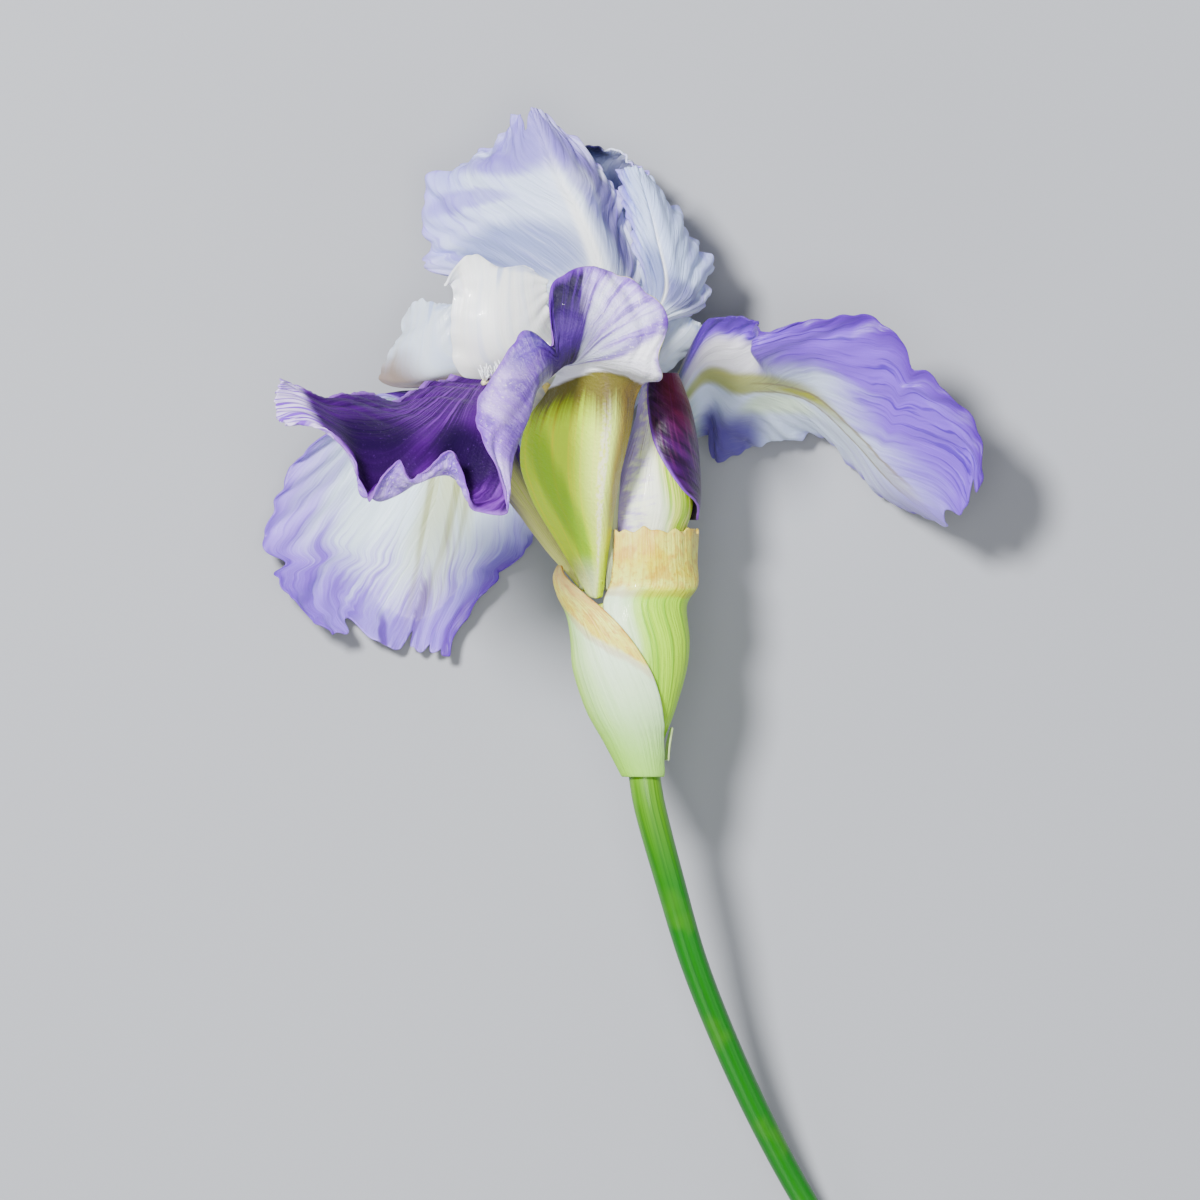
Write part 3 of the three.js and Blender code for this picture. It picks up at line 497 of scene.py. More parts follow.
# ---- Bud
# A second bloom, still furled: a green core of rolled standards with three falls wound round
# it. The outermost shows its dark violet face, the others their feathered pale backs.
BUD_Z = -4  # the height of the bud's axis
BUD_LIFT = 1.6  # how far each furled fall winds outward
BUD_THICK = 0.5
BUD_CORE_ROUTE = [
  [9.6, -6, -2.4], [10.6, 6, -3.8], [11.2, 20, BUD_Z], [12.6, 34, BUD_Z], [12.6, 45.6, BUD_Z],
]
BUD_CORE_RADII = [1.6, 4.2, 4.8, 3.2, 0.4]
BUD_FALLS = {
  "bud_fall_a": [
    [16, 10.6, BUD_Z, 7.2, 7.0, -98, -4], [19, 10.8, BUD_Z, 7.8, 7.5, -104, 24],
    [22, 11.2, BUD_Z, 7.8, 7.6, -108, 56], [27, 12, BUD_Z, 6.9, 6.6, -118, 84],
    [32, 12.6, BUD_Z, 5.9, 5.8, -118, 106], [38, 12.9, BUD_Z, 4.5, 4.4, -112, 124],
    [42, 12.8, BUD_Z, 3.3, 3.2, -100, 134], [45.5, 12.7, BUD_Z, 2.0, 1.9, -90, 140],
  ],
  "bud_fall_b": [
    [5, 9.9, BUD_Z, 5.0, 4.9, -6, 142], [14, 10.3, BUD_Z, 6.5, 6.2, -22, 150],
    [19, 10.8, BUD_Z, 7.3, 6.9, -30, 158], [27, 12, BUD_Z, 6.3, 6.0, 0, 166],
    [36, 12.9, BUD_Z, 4.2, 4.1, 30, 176], [42, 12.7, BUD_Z, 2.7, 2.6, 60, 182],
    [44.6, 12.6, BUD_Z, 1.7, 1.6, 70, 186],
  ],
  "bud_fall_c": [
    [5, 9.9, BUD_Z, 5.0, 4.9, 130, 300], [14, 10.3, BUD_Z, 6.5, 6.2, 138, 286],
    [19, 10.8, BUD_Z, 7.4, 6.9, 146, 258], [27, 12, BUD_Z, 6.4, 6.1, 154, 250],
    [36, 12.9, BUD_Z, 4.5, 4.4, 164, 250], [42, 12.7, BUD_Z, 3.1, 3, 170, 262],
    [44.6, 12.6, BUD_Z, 2.1, 2, 174, 268],
  ],
}
core = Finish("bud_core_skin", 0.45, soft=0.1)
x, y, z = bar_place(core)
folds = core.cloud(x * 5.0, y * 5.0, z * 2.0)
tint = core.mix(folds, linear(196, 214, 120), linear(120, 90, 150))
bud_core_skin = core.paint(tint, folds, 0.5)
finish_piece("bud_heart", rod(BUD_CORE_ROUTE, BUD_CORE_RADII, steps=30, sides=20), "bud_core",
             [bud_core_skin])

dark = Finish("bud_violet", 0.4, sheen=0.1, soft=0.03)
u, v = dark.sheet_place()
lines = dark.cloud(v * 9.0 - u * 12.0, v * 2.0 + u * 3.0, 0.0, detail=5.0)
streaks = dark.cloud(v * 42.0 + u * 10.0, v * 3.0 - u * 2.0, 2.0, detail=4.0)
tint = dark.blend(lines, 0.38, 0.66, (48, 8, 60), (82, 24, 104))
brown = dark.ease(u + (lines - 0.5) * 0.8, 0.45, 0.9) * dark.patch(u, v, (0.70, 0.45), (0.5, 0.42))
tint = tint.under(brown * 0.8, 122, 58, 64)
tint = tint.under(dark.ease(streaks, 0.50, 0.66) * 0.3, 124, 70, 116)
tint = tint.under(dark.ease(v, 0.965, 0.995) * 0.8, 142, 96, 190)
bud_violet = dark.paint(tint, lines + streaks * 0.4, 0.6, 0.0005)

pale = Finish("bud_feathered", 0.40, soft=0.12, coat=0.05)
u, v = pale.sheet_place()
ribs = pale.cloud(v * 36.0 + u * 4.0, u * 1.6, 0.0, detail=4.0)
tint = pale.blend(ribs, 0.40, 0.62, (184, 216, 60), (238, 246, 170))
tint = tint.under(pale.ease(u + (ribs - 0.5) * 0.3, 0.42, 0.75) * 0.7, 196, 176, 104)
middle = pale.ease((v + (ribs - 0.5) * 0.10 - 0.66).size() + (u - 0.3) * 0.15, 0.20, 0.05)
tint = tint.under(middle.most(pale.ease(v, 0.62, 0.80)) * 0.92, 246, 250, 240)
feather = pale.cloud(v * 5.0 + u * 30.0, v * 6.0 - u * 3.0, 4.0, detail=5.0)
reach = pale.ease(v + (feather - 0.5) * 0.75 + (u - 0.4) * 0.2, 0.66, 0.92)
tint = tint.under(reach * 0.8, 172, 148, 220)
hair = pale.cloud(v * 60.0 + u * 30.0, u * 4.0, 7.0, detail=3.0)
tint = tint.under(pale.ease(hair, 0.55, 0.66) * pale.ease(u, 0.3, 0.6) * 0.6, 128, 84, 76)
bud_feathered = pale.paint(tint, ribs + feather * 0.5 + hair * 0.3, 0.5, 0.0005)


def bud_wave(u, v):
    """A fine crimp along the margins."""
    return 0.10 * (abs(2 * v - 1) ** 5) * soft_noise(34 * u, 5.0)


for node, skin_finish, slot in (("bud_fall_a", bud_violet, "bud_purple"),
                                ("bud_fall_b", bud_feathered, "bud_green"),
                                ("bud_fall_c", bud_feathered, "bud_green")):
    leaf = sheet(wrapped(BUD_FALLS[node], BUD_LIFT), rows=60, cols=44, wave=bud_wave)
    finish_piece(node + "_petal", leaf, node, [skin_finish], thick=BUD_THICK)

# ---- Falls
# Three broad petals on ridged, channelled hafts. They are velvety deep violet on the upper
# face and pale lavender beneath, thin as paper at their crimped and ruffled margins.
FALL_THICK = 0.42
FALL_FRONT = [
  [[-2.2, 0.6, 2.6], [-1.6, 0.4, 3.1], [-0.9, 0.2, 3.3], [-0.2, 0.3, 3.1], [0.4, 0.5, 2.8]],
  [[-8.6, 11, 2.6], [-5, 11.5, 5.6], [-0.8, 11, 7], [0.8, 11, 6.4], [1.8, 11, 4.2]],
  [[-15.6, 24, 6.4], [-9, 24, 11.5], [-0.8, 22, 14], [2, 22, 13], [3.6, 22.4, 9.6]],
  [[-15.4, 34, 11.5], [-9, 35, 17.5], [0.2, 35, 20], [4, 34, 18], [6, 33, 14]],
  [[-11, 41, 16], [-6, 43, 21], [0, 44.6, 24.5], [5, 43.6, 23], [8.2, 42.4, 20]],
  [[-9, 44.5, 18], [-5.5, 45.8, 22], [-1.6, 46.6, 26], [6, 45.4, 31.5], [13.6, 44.2, 33]],
  [[-9.6, 46, 17.5], [-6.6, 46.6, 22], [-3, 47.2, 27], [4.5, 49, 35], [14.2, 55.8, 33.5]],
  [[-10.6, 47, 17], [-7.6, 47.2, 22], [-4.2, 47.4, 28], [0.4, 53, 36.5], [5.6, 64.2, 34]],
  [[-12, 47, 17], [-8.8, 47.4, 22.6], [-5.4, 47.2, 28.5], [-4, 53, 37.5], [-3, 66.2, 35]],
  [[-14, 46.6, 17.5], [-10.4, 46.8, 23], [-7, 46.6, 29.5], [-7.6, 51, 38], [-10, 63, 36]],
  [[-17, 45.6, 17.5], [-13, 45.8, 23.6], [-9.6, 44.4, 31.5], [-10.4, 48, 39.5], [-15.6, 54.6, 38]],
  [[-20, 44.4, 18.4], [-16.4, 44.2, 25], [-13, 41.4, 34], [-12.6, 43.4, 42.5], [-19.4, 47.4, 41]],
  [[-23.5, 43.6, 20], [-20.4, 42.8, 27.4], [-17, 38.6, 37], [-14.4, 36, 45], [-24.6, 39.4, 47.5]],
  [[-26.4, 43.6, 21.6], [-23.6, 42, 29.6], [-20.6, 36.4, 40], [-16.8, 29.6, 47], [-23.4, 31.2, 51.5]],
  [[-30, 44, 21], [-27, 41, 31], [-24.4, 34.6, 42], [-19, 24.6, 49], [-17.6, 17.4, 52]],
  [[-33.6, 43.6, 24], [-30.6, 39.8, 34], [-28, 33, 44], [-26, 23, 50], [-24.8, 17.8, 54]],
  [[-37.4, 41.4, 28], [-34, 38.4, 37], [-31.6, 32, 46], [-30, 24.6, 52.5], [-28.6, 29.6, 57.5]],
  [[-41.4, 39.4, 32], [-38, 36.8, 41], [-36, 31, 49], [-35.4, 23.6, 54.5], [-35.6, 23.8, 61]],
  [[-46, 40.8, 37], [-43, 36.2, 45], [-41.4, 29.4, 52], [-43.4, 19.4, 56.5], [-40, 27.6, 62.5]],
  [[-50.6, 41, 42], [-48, 37, 49], [-47.4, 31, 54], [-46.8, 23.6, 58], [-45.6, 19, 62]],
  [[-55.6, 40, 47], [-53.6, 37.6, 52], [-52, 34.4, 56], [-50.6, 30.6, 59.5], [-47.8, 27.6, 62.5]],
  [[-60.4, 42.6, 52], [-59.4, 40.4, 54.5], [-58.4, 38, 57], [-57, 35.4, 60], [-55.4, 33.6, 62.5]],
  [[-62.6, 43.8, 56.5], [-63.6, 41.4, 58], [-64.2, 38.6, 59.5], [-63.6, 35.6, 61], [-61.4, 34, 62.5]],
]
FALL_LEFT = [
  [[-3.4, 1.8, -0.4], [-3.2, 1.7, -0.9], [-2.9, 1.6, -1.4], [-2.4, 1.5, -1.8], [-1.8, 1.5, -2.2]],
  [[-10.6, 9.6, -4.6], [-9.8, 10.4, -4.2], [-8.6, 11, -4.4], [-7.4, 11.6, -5.2], [-6.6, 12, -6.2]],
  [[-18.6, 20, -10.4], [-17.6, 21.2, -9.6], [-16, 22, -10], [-14.4, 22.8, -11], [-13.4, 23.4, -12.4]],
  [[-30, 32.4, -19], [-27.6, 33.6, -17.6], [-24, 33.8, -18], [-20.6, 34.6, -20], [-18, 36, -22]],
  [[-44.4, 41, -20.6], [-38, 42, -22.4], [-30, 41.4, -25], [-23, 39.6, -28], [-17.6, 36.6, -31]],
  [[-57, 32.4, -26], [-45, 36.6, -31], [-30.6, 36, -34.6], [-20.6, 33, -35], [-13, 28, -33]],
  [[-65.4, 23, -29.6], [-49, 24.6, -35.6], [-32.4, 24.6, -38.4], [-20.4, 23.4, -37],
   [-10.4, 19.6, -32.4]],
  [[-68.2, 10.4, -29.6], [-52, 11, -36.4], [-35, 11, -39], [-23, 11.4, -37.6], [-14, 10, -31]],
  [[-63.6, 0.6, -28], [-51, -0.4, -35.6], [-37.4, -1, -38.6], [-29, 0.6, -36.8], [-21.6, 2.2, -31.4]],
  [[-52.6, -7.8, -26.4], [-46.4, -8.8, -30.6], [-40.4, -11, -33.6], [-35.4, -11.4, -33.6],
   [-30.4, -12.6, -31]],
]
FALL_RIGHT = [
  [[2.2, 1.8, -2.4], [2.6, 1.8, -2], [2.9, 1.8, -1.5], [3, 1.9, -1], [3, 2, -0.5]],
  [[7.4, 13, -17], [6.4, 14, -15.6], [5.4, 15, -15.2], [4.6, 16, -15.4], [4.0, 17, -16.2]],
  [[14.6, 27.6, -21.4], [13.4, 29.4, -18.4], [12.2, 31, -17.2], [11, 32.4, -17], [10.2, 33.6, -17.8]],
  [[21.6, 33, -27], [21.2, 38.6, -21], [20.4, 44, -16], [20, 49.6, -11], [20.4, 54.8, -7]],
  [[23.2, 27.4, -29], [25.4, 36, -21], [27.6, 42.6, -14.6], [27.4, 50, -8], [26, 57.2, -3]],
  [[30, 30.4, -30], [31.4, 38, -21], [32, 42.8, -14], [31.6, 49.6, -5.6], [31.4, 55.8, -0.6]],
  [[36.4, 31.6, -31.4], [37, 38, -21.4], [38, 42.2, -14], [31, 49.6, 5], [33.4, 53.8, 5.6]],
  [[43.6, 33.2, -33.6], [43.4, 36.2, -22.4], [44, 39.6, -13.6], [42.6, 49.6, 1], [43.4, 56.8, 6]],
  [[49.2, 29.6, -35.6], [50.6, 30.4, -23], [51.6, 32.4, -13], [53, 43, -3], [55.2, 56.8, 4]],
  [[54.8, 23, -36], [56.2, 22.6, -22.4], [58, 25.4, -12.4], [61.4, 35.6, -5], [66.6, 45.4, 1]],
  [[62, 18.6, -33.4], [62.8, 18.4, -21.4], [64.2, 19.8, -11.6], [70.6, 27.4, -6], [76.4, 33.4, -2]],
  [[68.6, 16.2, -28], [70, 15.4, -19], [71.6, 13.6, -11], [73.4, 16, -7.4], [76.2, 20.6, -5]],
]


class Veins:
    """Streaks that run along lanes of a petal, broad soft ones and fine sharp ones."""

    def __init__(self, finish, lane, run, seed, crowd=1.0):
        sway = finish.cloud(lane * 5.0, run * 4.0, seed)
        lane = lane + (sway - 0.5) * 0.05
        self.broad = finish.cloud(lane * 15.0 * crowd, run * 1.3, seed + 1.0, detail=3.0)
        self.fine = finish.cloud(lane * 75.0 * crowd, run * 2.6, seed + 2.0, detail=3.0)


def fanned(finish, u, v, slant, seed, crowd=1.0):
    """Veins that leave the midrib on both sides at a slant, given in degrees."""
    offset = v - 0.5
    half = finish.node("ShaderNodeMath", {"operation": "SIGN"}, {0: offset})
    side = offset.size() * 2.0
    lean, out = math.sin(math.radians(slant)), math.cos(math.radians(slant))
    return Veins(finish, u * lean - side * out + half * 3.0, u * out + side * lean, seed, crowd)


def radiating(finish, u, v, centre, seed, crowd=1.0):
    """Veins that spread from one point of a petal."""
    down, across = u - centre[0], v - centre[1]
    turn = finish.node("ShaderNodeMath", {"operation": "ARCTAN2"}, {0: across, 1: down})
    return Veins(finish, turn * 0.5, (down * down + across * across) ** 0.5, seed, crowd)


def haft_green(finish, u, v, seed):
    """The yellow-green foot of a fall, streaked pale along its length, with painted shade in the groove, a
    painted highlight at its foot and a painted shadow under the lobe at its top.
    """
    stripe = finish.cloud(v * 34.0, u * 2.5, seed, detail=5.0)
    soft = finish.cloud(v * 8.0, u * 3.0, seed + 3.0, detail=2.0)
    tint = finish.blend(stripe, 0.46, 0.70, (226, 255, 70), (246, 255, 150))
    rough_u, rough_v = u + (soft - 0.5) * 0.05, v + (stripe - 0.5) * 0.08
    cream = finish.patch(rough_u, rough_v, (0.11, 0.62), (0.085, 0.22))
    tint = tint.under(cream * 0.35, 255, 255, 214)
    # Painted shade: a deeper green along the groove.
    groove_shade = finish.patch(u, v + u * 2.4 + (soft - 0.5) * 0.10, (0.070, 0.43), (0.075, 0.11))
    tint = tint.under(groove_shade * 0.70, 164, 208, 10)
    beads = finish.cloud(v * 30.0, u * 260.0, seed + 5.0, detail=2.0)
    crest = finish.patch(u, v + (beads - 0.5) * 0.10, (0.10, 0.56), (0.085, 0.05))
    tint = tint.under(crest * finish.ease(beads, 0.35, 0.55) * 0.9, 255, 254, 226)
    # A tan panel at the top right, darkened as painted shade beside the lobe.
    tint = tint.under(finish.patch(u, v, (0.13, 0.90), (0.08, 0.22)) * 0.8, 158, 124, 92)
    # Painted highlight: a white gleam on the foot.
    foot = finish.ease(u, 0.040, 0.015) * finish.patch(u, v, (0.0, 0.30), (0.2, 0.30))
    tint = tint.under(foot * 0.5, 255, 255, 240)
    # Painted shadow: the brown band across the top, where the lobe overhangs the haft.
    brown = finish.ease(u + (stripe - 0.5) * 0.06 + (soft - 0.5) * 0.04, 0.128, 0.168)
    return finish.mix(brown * 0.92, tint, finish.mix(v, linear(92, 70, 62), linear(130, 116, 84)))


def front_back(name):
    """The under side of the front fall: green haft, pale lobe with radiating violet veins, painted glints,
    a lit facet painted white and painted shade along the fold.
    """
    finish = Finish(name, 0.38, soft=0.12, coat=0.04)
    u, v = finish.sheet_place()
    veins = Veins(finish, u * 2.4 + v * 0.25, v, 1.0)
    glint_noise = finish.grain(1700.0, 3.0)
    lanes = finish.cloud(u * 130.0 + v * 8.0, v * 2.2, 6.0, detail=3.0)
    tint = finish.blend(veins.broad + (v - 0.75) * 0.3, 0.40, 0.66, (230, 234, 255), (200, 184, 246))
    tint = tint.under(finish.ease(lanes, 0.50, 0.64) * 0.5, 156, 118, 214)
    tint = tint.under(finish.ease(veins.fine, 0.52, 0.64) * 0.6, 110, 60, 176)
    # Painted light: the facet below the crease, which faces the light, painted white.
    lit_facet = finish.ease(u + (veins.fine - 0.5) * 0.006, 0.276, 0.264)
    tint = tint.under(lit_facet * 0.85, 248, 249, 255)
    # Painted shade: a darker violet line along the crease.
    crease_shade = finish.ease((u - 0.274 + (lanes - 0.5) * 0.01).size(), 0.012, 0.002)
    tint = tint.under(crease_shade * finish.ease(v, 0.1, 0.3) * 0.7, 128, 92, 186)
    patch = finish.patch(u, v, (0.54, 0.90), (0.11, 0.20))
    folded = patch.most(finish.ease(u, 0.56, 0.60))
    hood = finish.blend(veins.broad, 0.40, 0.62, (206, 184, 244), (166, 130, 220))
    tint = finish.mix(folded * 0.85, tint, hood)
    blots = finish.grain(170.0, 3.0)
    tint = tint.under(finish.ease(blots, 0.50, 0.64) * folded * 0.6, 120, 92, 180)
    # Painted glints: tiny white sparks where the velvet catches the light.
    tint = tint.under(finish.ease(glint_noise, 0.56, 0.70) * 0.5, 254, 250, 255)
    # Painted shade: a dark violet band on the shaded side of the curled lobe.
    shade_band = finish.patch(u + (lanes - 0.5) * 0.05, v, (0.408, 0.66), (0.056, 0.56))
    shade = finish.blend(veins.fine, 0.45, 0.62, (40, 4, 72), (76, 30, 124))
    tint = finish.mix(shade_band * 1.6, tint, shade)
    rough_u, rough_v = u + (veins.fine - 0.5) * 0.04, v + (veins.broad - 0.5) * 0.1
    # Painted shade: a dusky purple strip beside it, on the shaded underside of the blade.
    shade_strip = finish.patch(rough_u, rough_v, (0.50, 0.74), (0.20, 0.16))
    tint = tint.under(shade_strip * 0.75, 92, 62, 140)
    # Painted shade: a dusky patch near the margin by the fold.
    painted_shade = finish.patch(u, v + (veins.broad - 0.5) * 0.05, (0.475, 0.93), (0.035, 0.09))
    tint = tint.under(painted_shade * 0.65, 96, 74, 158)
    edge = finish.ease(v + (veins.fine - 0.5) * 0.05, 0.955, 0.995)
    tint = tint.under(edge * 0.7, 124, 70, 186)
    haft = finish.ease(u + (veins.broad - 0.5) * 0.02, 0.197, 0.185)
    tint = finish.mix(haft, tint, haft_green(finish, u, v, 0.0))
    height = veins.broad + veins.fine * 0.5 + glint_noise * 0.5
    return finish.paint(tint, height, 0.6, 0.0008, roughness=shade_band * 0.3 + 0.38)


def front_face(name):
    """The upper side of the front fall: deep violet velvet with streaks that fan out left, painted glints,
    a painted sheen where the streaks show most and painted shade in its hollows.
    """
    finish = Finish(name, 0.50, soft=0.02, gloss=0.15)
    u, v = finish.sheet_place()
    veins = radiating(finish, u, v * 0.7, (0.52, 0.04), 3.0)
    glint_noise = finish.grain(1700.0, 3.0)
    tint = finish.blend(veins.broad, 0.32, 0.68, (54, 0, 82), (92, 12, 128))
    # Painted sheen: the pale streaks show most in two patches where the blade catches the light.
    light = finish.patch(u, v, (0.69, 0.24), (0.11, 0.20))
    light = light + finish.patch(u, v, (0.64, 0.95), (0.05, 0.2))
    tint = tint.under(finish.ease(veins.fine, 0.46, 0.66) * (light + 0.15) * 0.4, 164, 104, 212)
    # Painted shade: the blade's hollows darkened to near black violet.
    hollow_shade = finish.patch(u, v, (0.69, 0.62), (0.06, 0.18))
    hollow_shade = hollow_shade + finish.patch(u, v, (0.84, 0.52), (0.07, 0.26)) * 0.8
    tint = tint.under(hollow_shade * 0.9, 34, 0, 62)
    edge = finish.ease((v - 0.5).size() * 2.0 + (veins.fine - 0.5) * 0.14, 0.90, 1.0)
    tint = tint.under(edge * 0.6, 178, 136, 222)
    tip = finish.ease(u + (veins.fine - 0.5) * 0.03, 0.935, 0.955)
    pale = finish.blend(veins.fine, 0.45, 0.6, (226, 216, 250), (140, 96, 204))
    tint = finish.mix(tip * 0.9, tint, pale)
    # Painted glints: faint pale violet sparks on the velvet.
    tint = tint.under(finish.ease(glint_noise, 0.60, 0.76) * 0.10, 180, 130, 236)
    throat = finish.ease(u + (veins.broad - 0.5) * 0.10, 0.40, 0.24)
    streaked = finish.ease(veins.fine, 0.48, 0.6) * 0.5
    cream = finish.mix(streaked, linear(226, 232, 160), linear(150, 120, 60))
    tint = finish.mix(throat, tint, cream)
    return finish.paint(tint, veins.broad + veins.fine * 0.5 + glint_noise * 0.3, 0.5, 0.0008)


def left_back(name):
    """The under side of the left fall: lavender round a pale middle, olive along the midrib, with a patch
    of painted shade near the tip.
    """
    finish = Finish(name, 0.42, sheen=0.08, soft=0.2)
    u, v = finish.sheet_place()
    side = (v - 0.5).size() * 2.0
    veins = fanned(finish, u, v, 58, 5.0, crowd=0.8)
    margin = finish.ease(side * 0.70 + u * 0.50 - v * 0.16 + (veins.broad - 0.5) * 0.5, 0.60, 1.06)
    tint = finish.mix(margin, linear(226, 240, 255), linear(168, 144, 228))
    low = finish.ease(u + (veins.fine - 0.5) * 0.25 + (veins.broad - 0.5) * 0.2, 0.74, 0.93)
    tint = tint.under(low * 0.9, 158, 134, 222)
    tint = tint.under(low * finish.ease(veins.broad, 0.44, 0.62) * 0.6, 118, 80, 180)
    for at, size in (((0.96, 0.54), (0.11, 0.035)), ((0.98, 0.36), (0.07, 0.030)),
                     ((0.90, 0.97), (0.13, 0.12))):
        dark = finish.patch(u, v + (veins.broad - 0.5) * 0.05, at, size)
        tint = tint.under(dark * 0.75, 96, 52, 152)
    streak = finish.ease(veins.fine, 0.52, 0.68) * finish.ease(side + u, 0.9, 1.7)
    tint = tint.under(streak * 0.5, 122, 86, 192)
    rib = finish.ease((v - 0.54).size() + (veins.broad - 0.5) * 0.2, 0.15, 0.02)
    tint = tint.under(rib * finish.ease(u, 1.02, 0.60) * 0.7, 190, 196, 112)
    olive = finish.cloud(v * 22.0, u * 1.2, 8.0, detail=2.0)
    near = finish.ease((v - 0.52).size(), 0.22, 0.06) * finish.ease(u, 1.0, 0.75)
    tint = tint.under(near * finish.ease(olive, 0.50, 0.66) * 0.55, 150, 152, 92)
    # Painted shade: a grey-lilac patch near the tip, where the fall lies in shadow.
    painted_shade = finish.patch(u, v + (veins.broad - 0.5) * 0.06, (0.82, 0.80), (0.12, 0.16)) * 0.5
    tint = tint.under(painted_shade, 146, 140, 194)
    edge = finish.ease(side + (veins.fine - 0.5) * 0.08, 0.93, 1.0)
    tint = tint.under(edge * 0.6, 102, 62, 172)
    stripe = finish.cloud(v * 20.0, u * 2.0, 2.0, detail=3.0)
    green = finish.blend(stripe, 0.38, 0.64, (238, 255, 130), (252, 255, 212))
    tint = finish.mix(finish.ease(u, 0.32, 0.20), tint, green)
    return finish.paint(tint, veins.broad + veins.fine * 0.4, 0.6, 0.0009)


def right_back(name):
    """The under side of the right fall: violet lobe above the midrib, near white below it, with its far
    margin painted deep violet as shade.
    """
    finish = Finish(name, 0.42, sheen=0.08, soft=0.2)
    u, v = finish.sheet_place()
    side = (v - 0.5).size() * 2.0
    veins = fanned(finish, u, v, 64, 9.0, crowd=0.8)
    upper = finish.ease(v + (veins.broad - 0.5) * 0.35 + (u - 0.6) * 0.10, 0.54, 0.76)
    tint = finish.mix(upper, linear(218, 228, 250), linear(140, 104, 212))
    tint = tint.under(finish.ease(u + (veins.broad - 0.5) * 0.3, 0.66, 0.96) * 0.8, 132, 100, 204)
    streak = finish.ease(veins.fine, 0.52, 0.66) * finish.ease(v, 0.5, 0.85)
    tint = tint.under(streak * 0.85, 88, 50, 166)
    rough_v = v + (veins.fine - 0.5) * 0.08
    tint = tint.under(finish.ease(rough_v, 0.88, 1.0) * 0.8, 96, 44, 160)
    tint = tint.under(finish.patch(u, rough_v, (0.36, 0.70), (0.12, 0.16)) * 0.9, 238, 238, 240)
    tint = tint.under(finish.patch(u, v, (0.34, 1.0), (0.10, 0.12)) * 0.8, 92, 66, 150)
    # Painted shade: the far margin, which lies in shadow, darkened to deep violet.
    shady = finish.patch(u, v + (veins.fine - 0.5) * 0.03, (0.36, 0.02), (0.14, 0.30))
    tint = tint.under(shady * 0.92, 78, 34, 146)
    sway = v + (veins.fine - 0.5) * 0.02
    rib = finish.patch(u, sway, (0.42, 0.53), (0.26, 0.085))
    rib = rib + finish.patch(u, sway, (0.74, 0.50), (0.20, 0.05)) * 0.45
    tint = tint.under(rib * 0.85, 180, 184, 66)
    tint = tint.under(finish.patch(u, v, (0.52, 0.34), (0.12, 0.12)) * 0.5, 222, 240, 180)
    lines = finish.ease(((sway - 0.50).size() - 0.035).size(), 0.012, 0.003)
    tint = tint.under(lines * finish.patch(u, v, (0.66, 0.5), (0.24, 0.3)) * 0.7, 140, 130, 104)
    low = finish.ease(v + (veins.fine - 0.5) * 0.05, 0.07, 0.0) * finish.ease(u, 0.5, 0.7)
    tint = tint.under(low * 0.8, 104, 60, 176)
    stripe = finish.cloud(v * 20.0, u * 2.0, 6.0, detail=3.0)
    green = finish.blend(stripe, 0.38, 0.64, (150, 180, 40), (214, 220, 150))
    tint = finish.mix(finish.ease(u, 0.27, 0.20), tint, green)
    return finish.paint(tint, veins.broad + veins.fine * 0.4, 0.6, 0.0009)


def fall_face(name, slant, seed, haft):
    """The upper side of a fall: velvety violet with paler streaks, a light margin and a cream haft."""
    finish = Finish(name, 0.5, soft=0.03, gloss=0.15)
    u, v = finish.sheet_place()
    side = (v - 0.5).size() * 2.0
    veins = fanned(finish, u, v, slant, seed)
    tint = finish.blend(veins.broad, 0.34, 0.66, (56, 2, 96), (98, 22, 146))
    tint = tint.under(finish.ease(veins.fine, 0.54, 0.68) * 0.5, 150, 112, 220)
    edge = finish.ease(side + (veins.fine - 0.5) * 0.10, 0.90, 1.0)
    tint = tint.under(edge * 0.6, 180, 150, 230)
    throat = finish.ease(u + side * 0.12 + (veins.broad - 0.5) * 0.10, haft + 0.16, haft - 0.02)
    streaked = finish.ease(veins.fine, 0.48, 0.6) * 0.5
    cream = finish.mix(streaked, linear(252, 255, 196), linear(228, 248, 120))
    tint = finish.mix(throat, tint, cream)
    return finish.paint(tint, veins.broad + veins.fine * 0.5, 0.5, 0.0008)


def crimped(big, small, waves, seed, start=0.15, lean=0.25):
    """A margin wave that grows towards the edge: slow folds that fan out, a fine crimp on them."""
    def wave(u, v):
        side = abs(2 * v - 1)
        half = 11.0 if v > 0.5 else 0.0
        grow = min(max((u - start) / 0.2, 0), 1)
        lane = u - lean * side
        slow = soft_noise(waves * lane + half, seed) * side ** 2
        quick = soft_noise(waves * 3.1 * lane + half, seed + 2) * side ** 6
        end = max(u - 0.9, 0) / 0.1
        quick_end = soft_noise(24 * v, seed) * end ** 2
        return grow * (big * slow + small * quick + small * quick_end)
    return wave


def scalloped(depth, count, seed):
    """Rounded lobes of uneven size all along the side margins, with narrow notches between."""
    def nick(u, v):
        side = abs(2 * v - 1)
        half = 17.0 if v > 0.5 else 0.0
        lobe = abs(math.sin(count * u + half + 0.9 * soft_noise(0.4 * count * u + half, seed)))
        return depth * ((1 - lobe) ** 1.3 + 0.5 + 0.5 * soft_noise(0.3 * count * u + half, seed)) * side
    return nick


def notched(depth, count, *cuts):
    """Small lobes across the tip, with deeper notches, each given as (spot, width, cut)."""
    def tip(v):
        lobe = 1 - abs(math.sin(count * v + 0.7 * soft_noise(9 * v, count)))
        deeper = [cut * math.exp(-((v - spot) / width) ** 2) for spot, width, cut in cuts]
        return depth * (lobe + 0.5) + sum(deeper)
    return tip


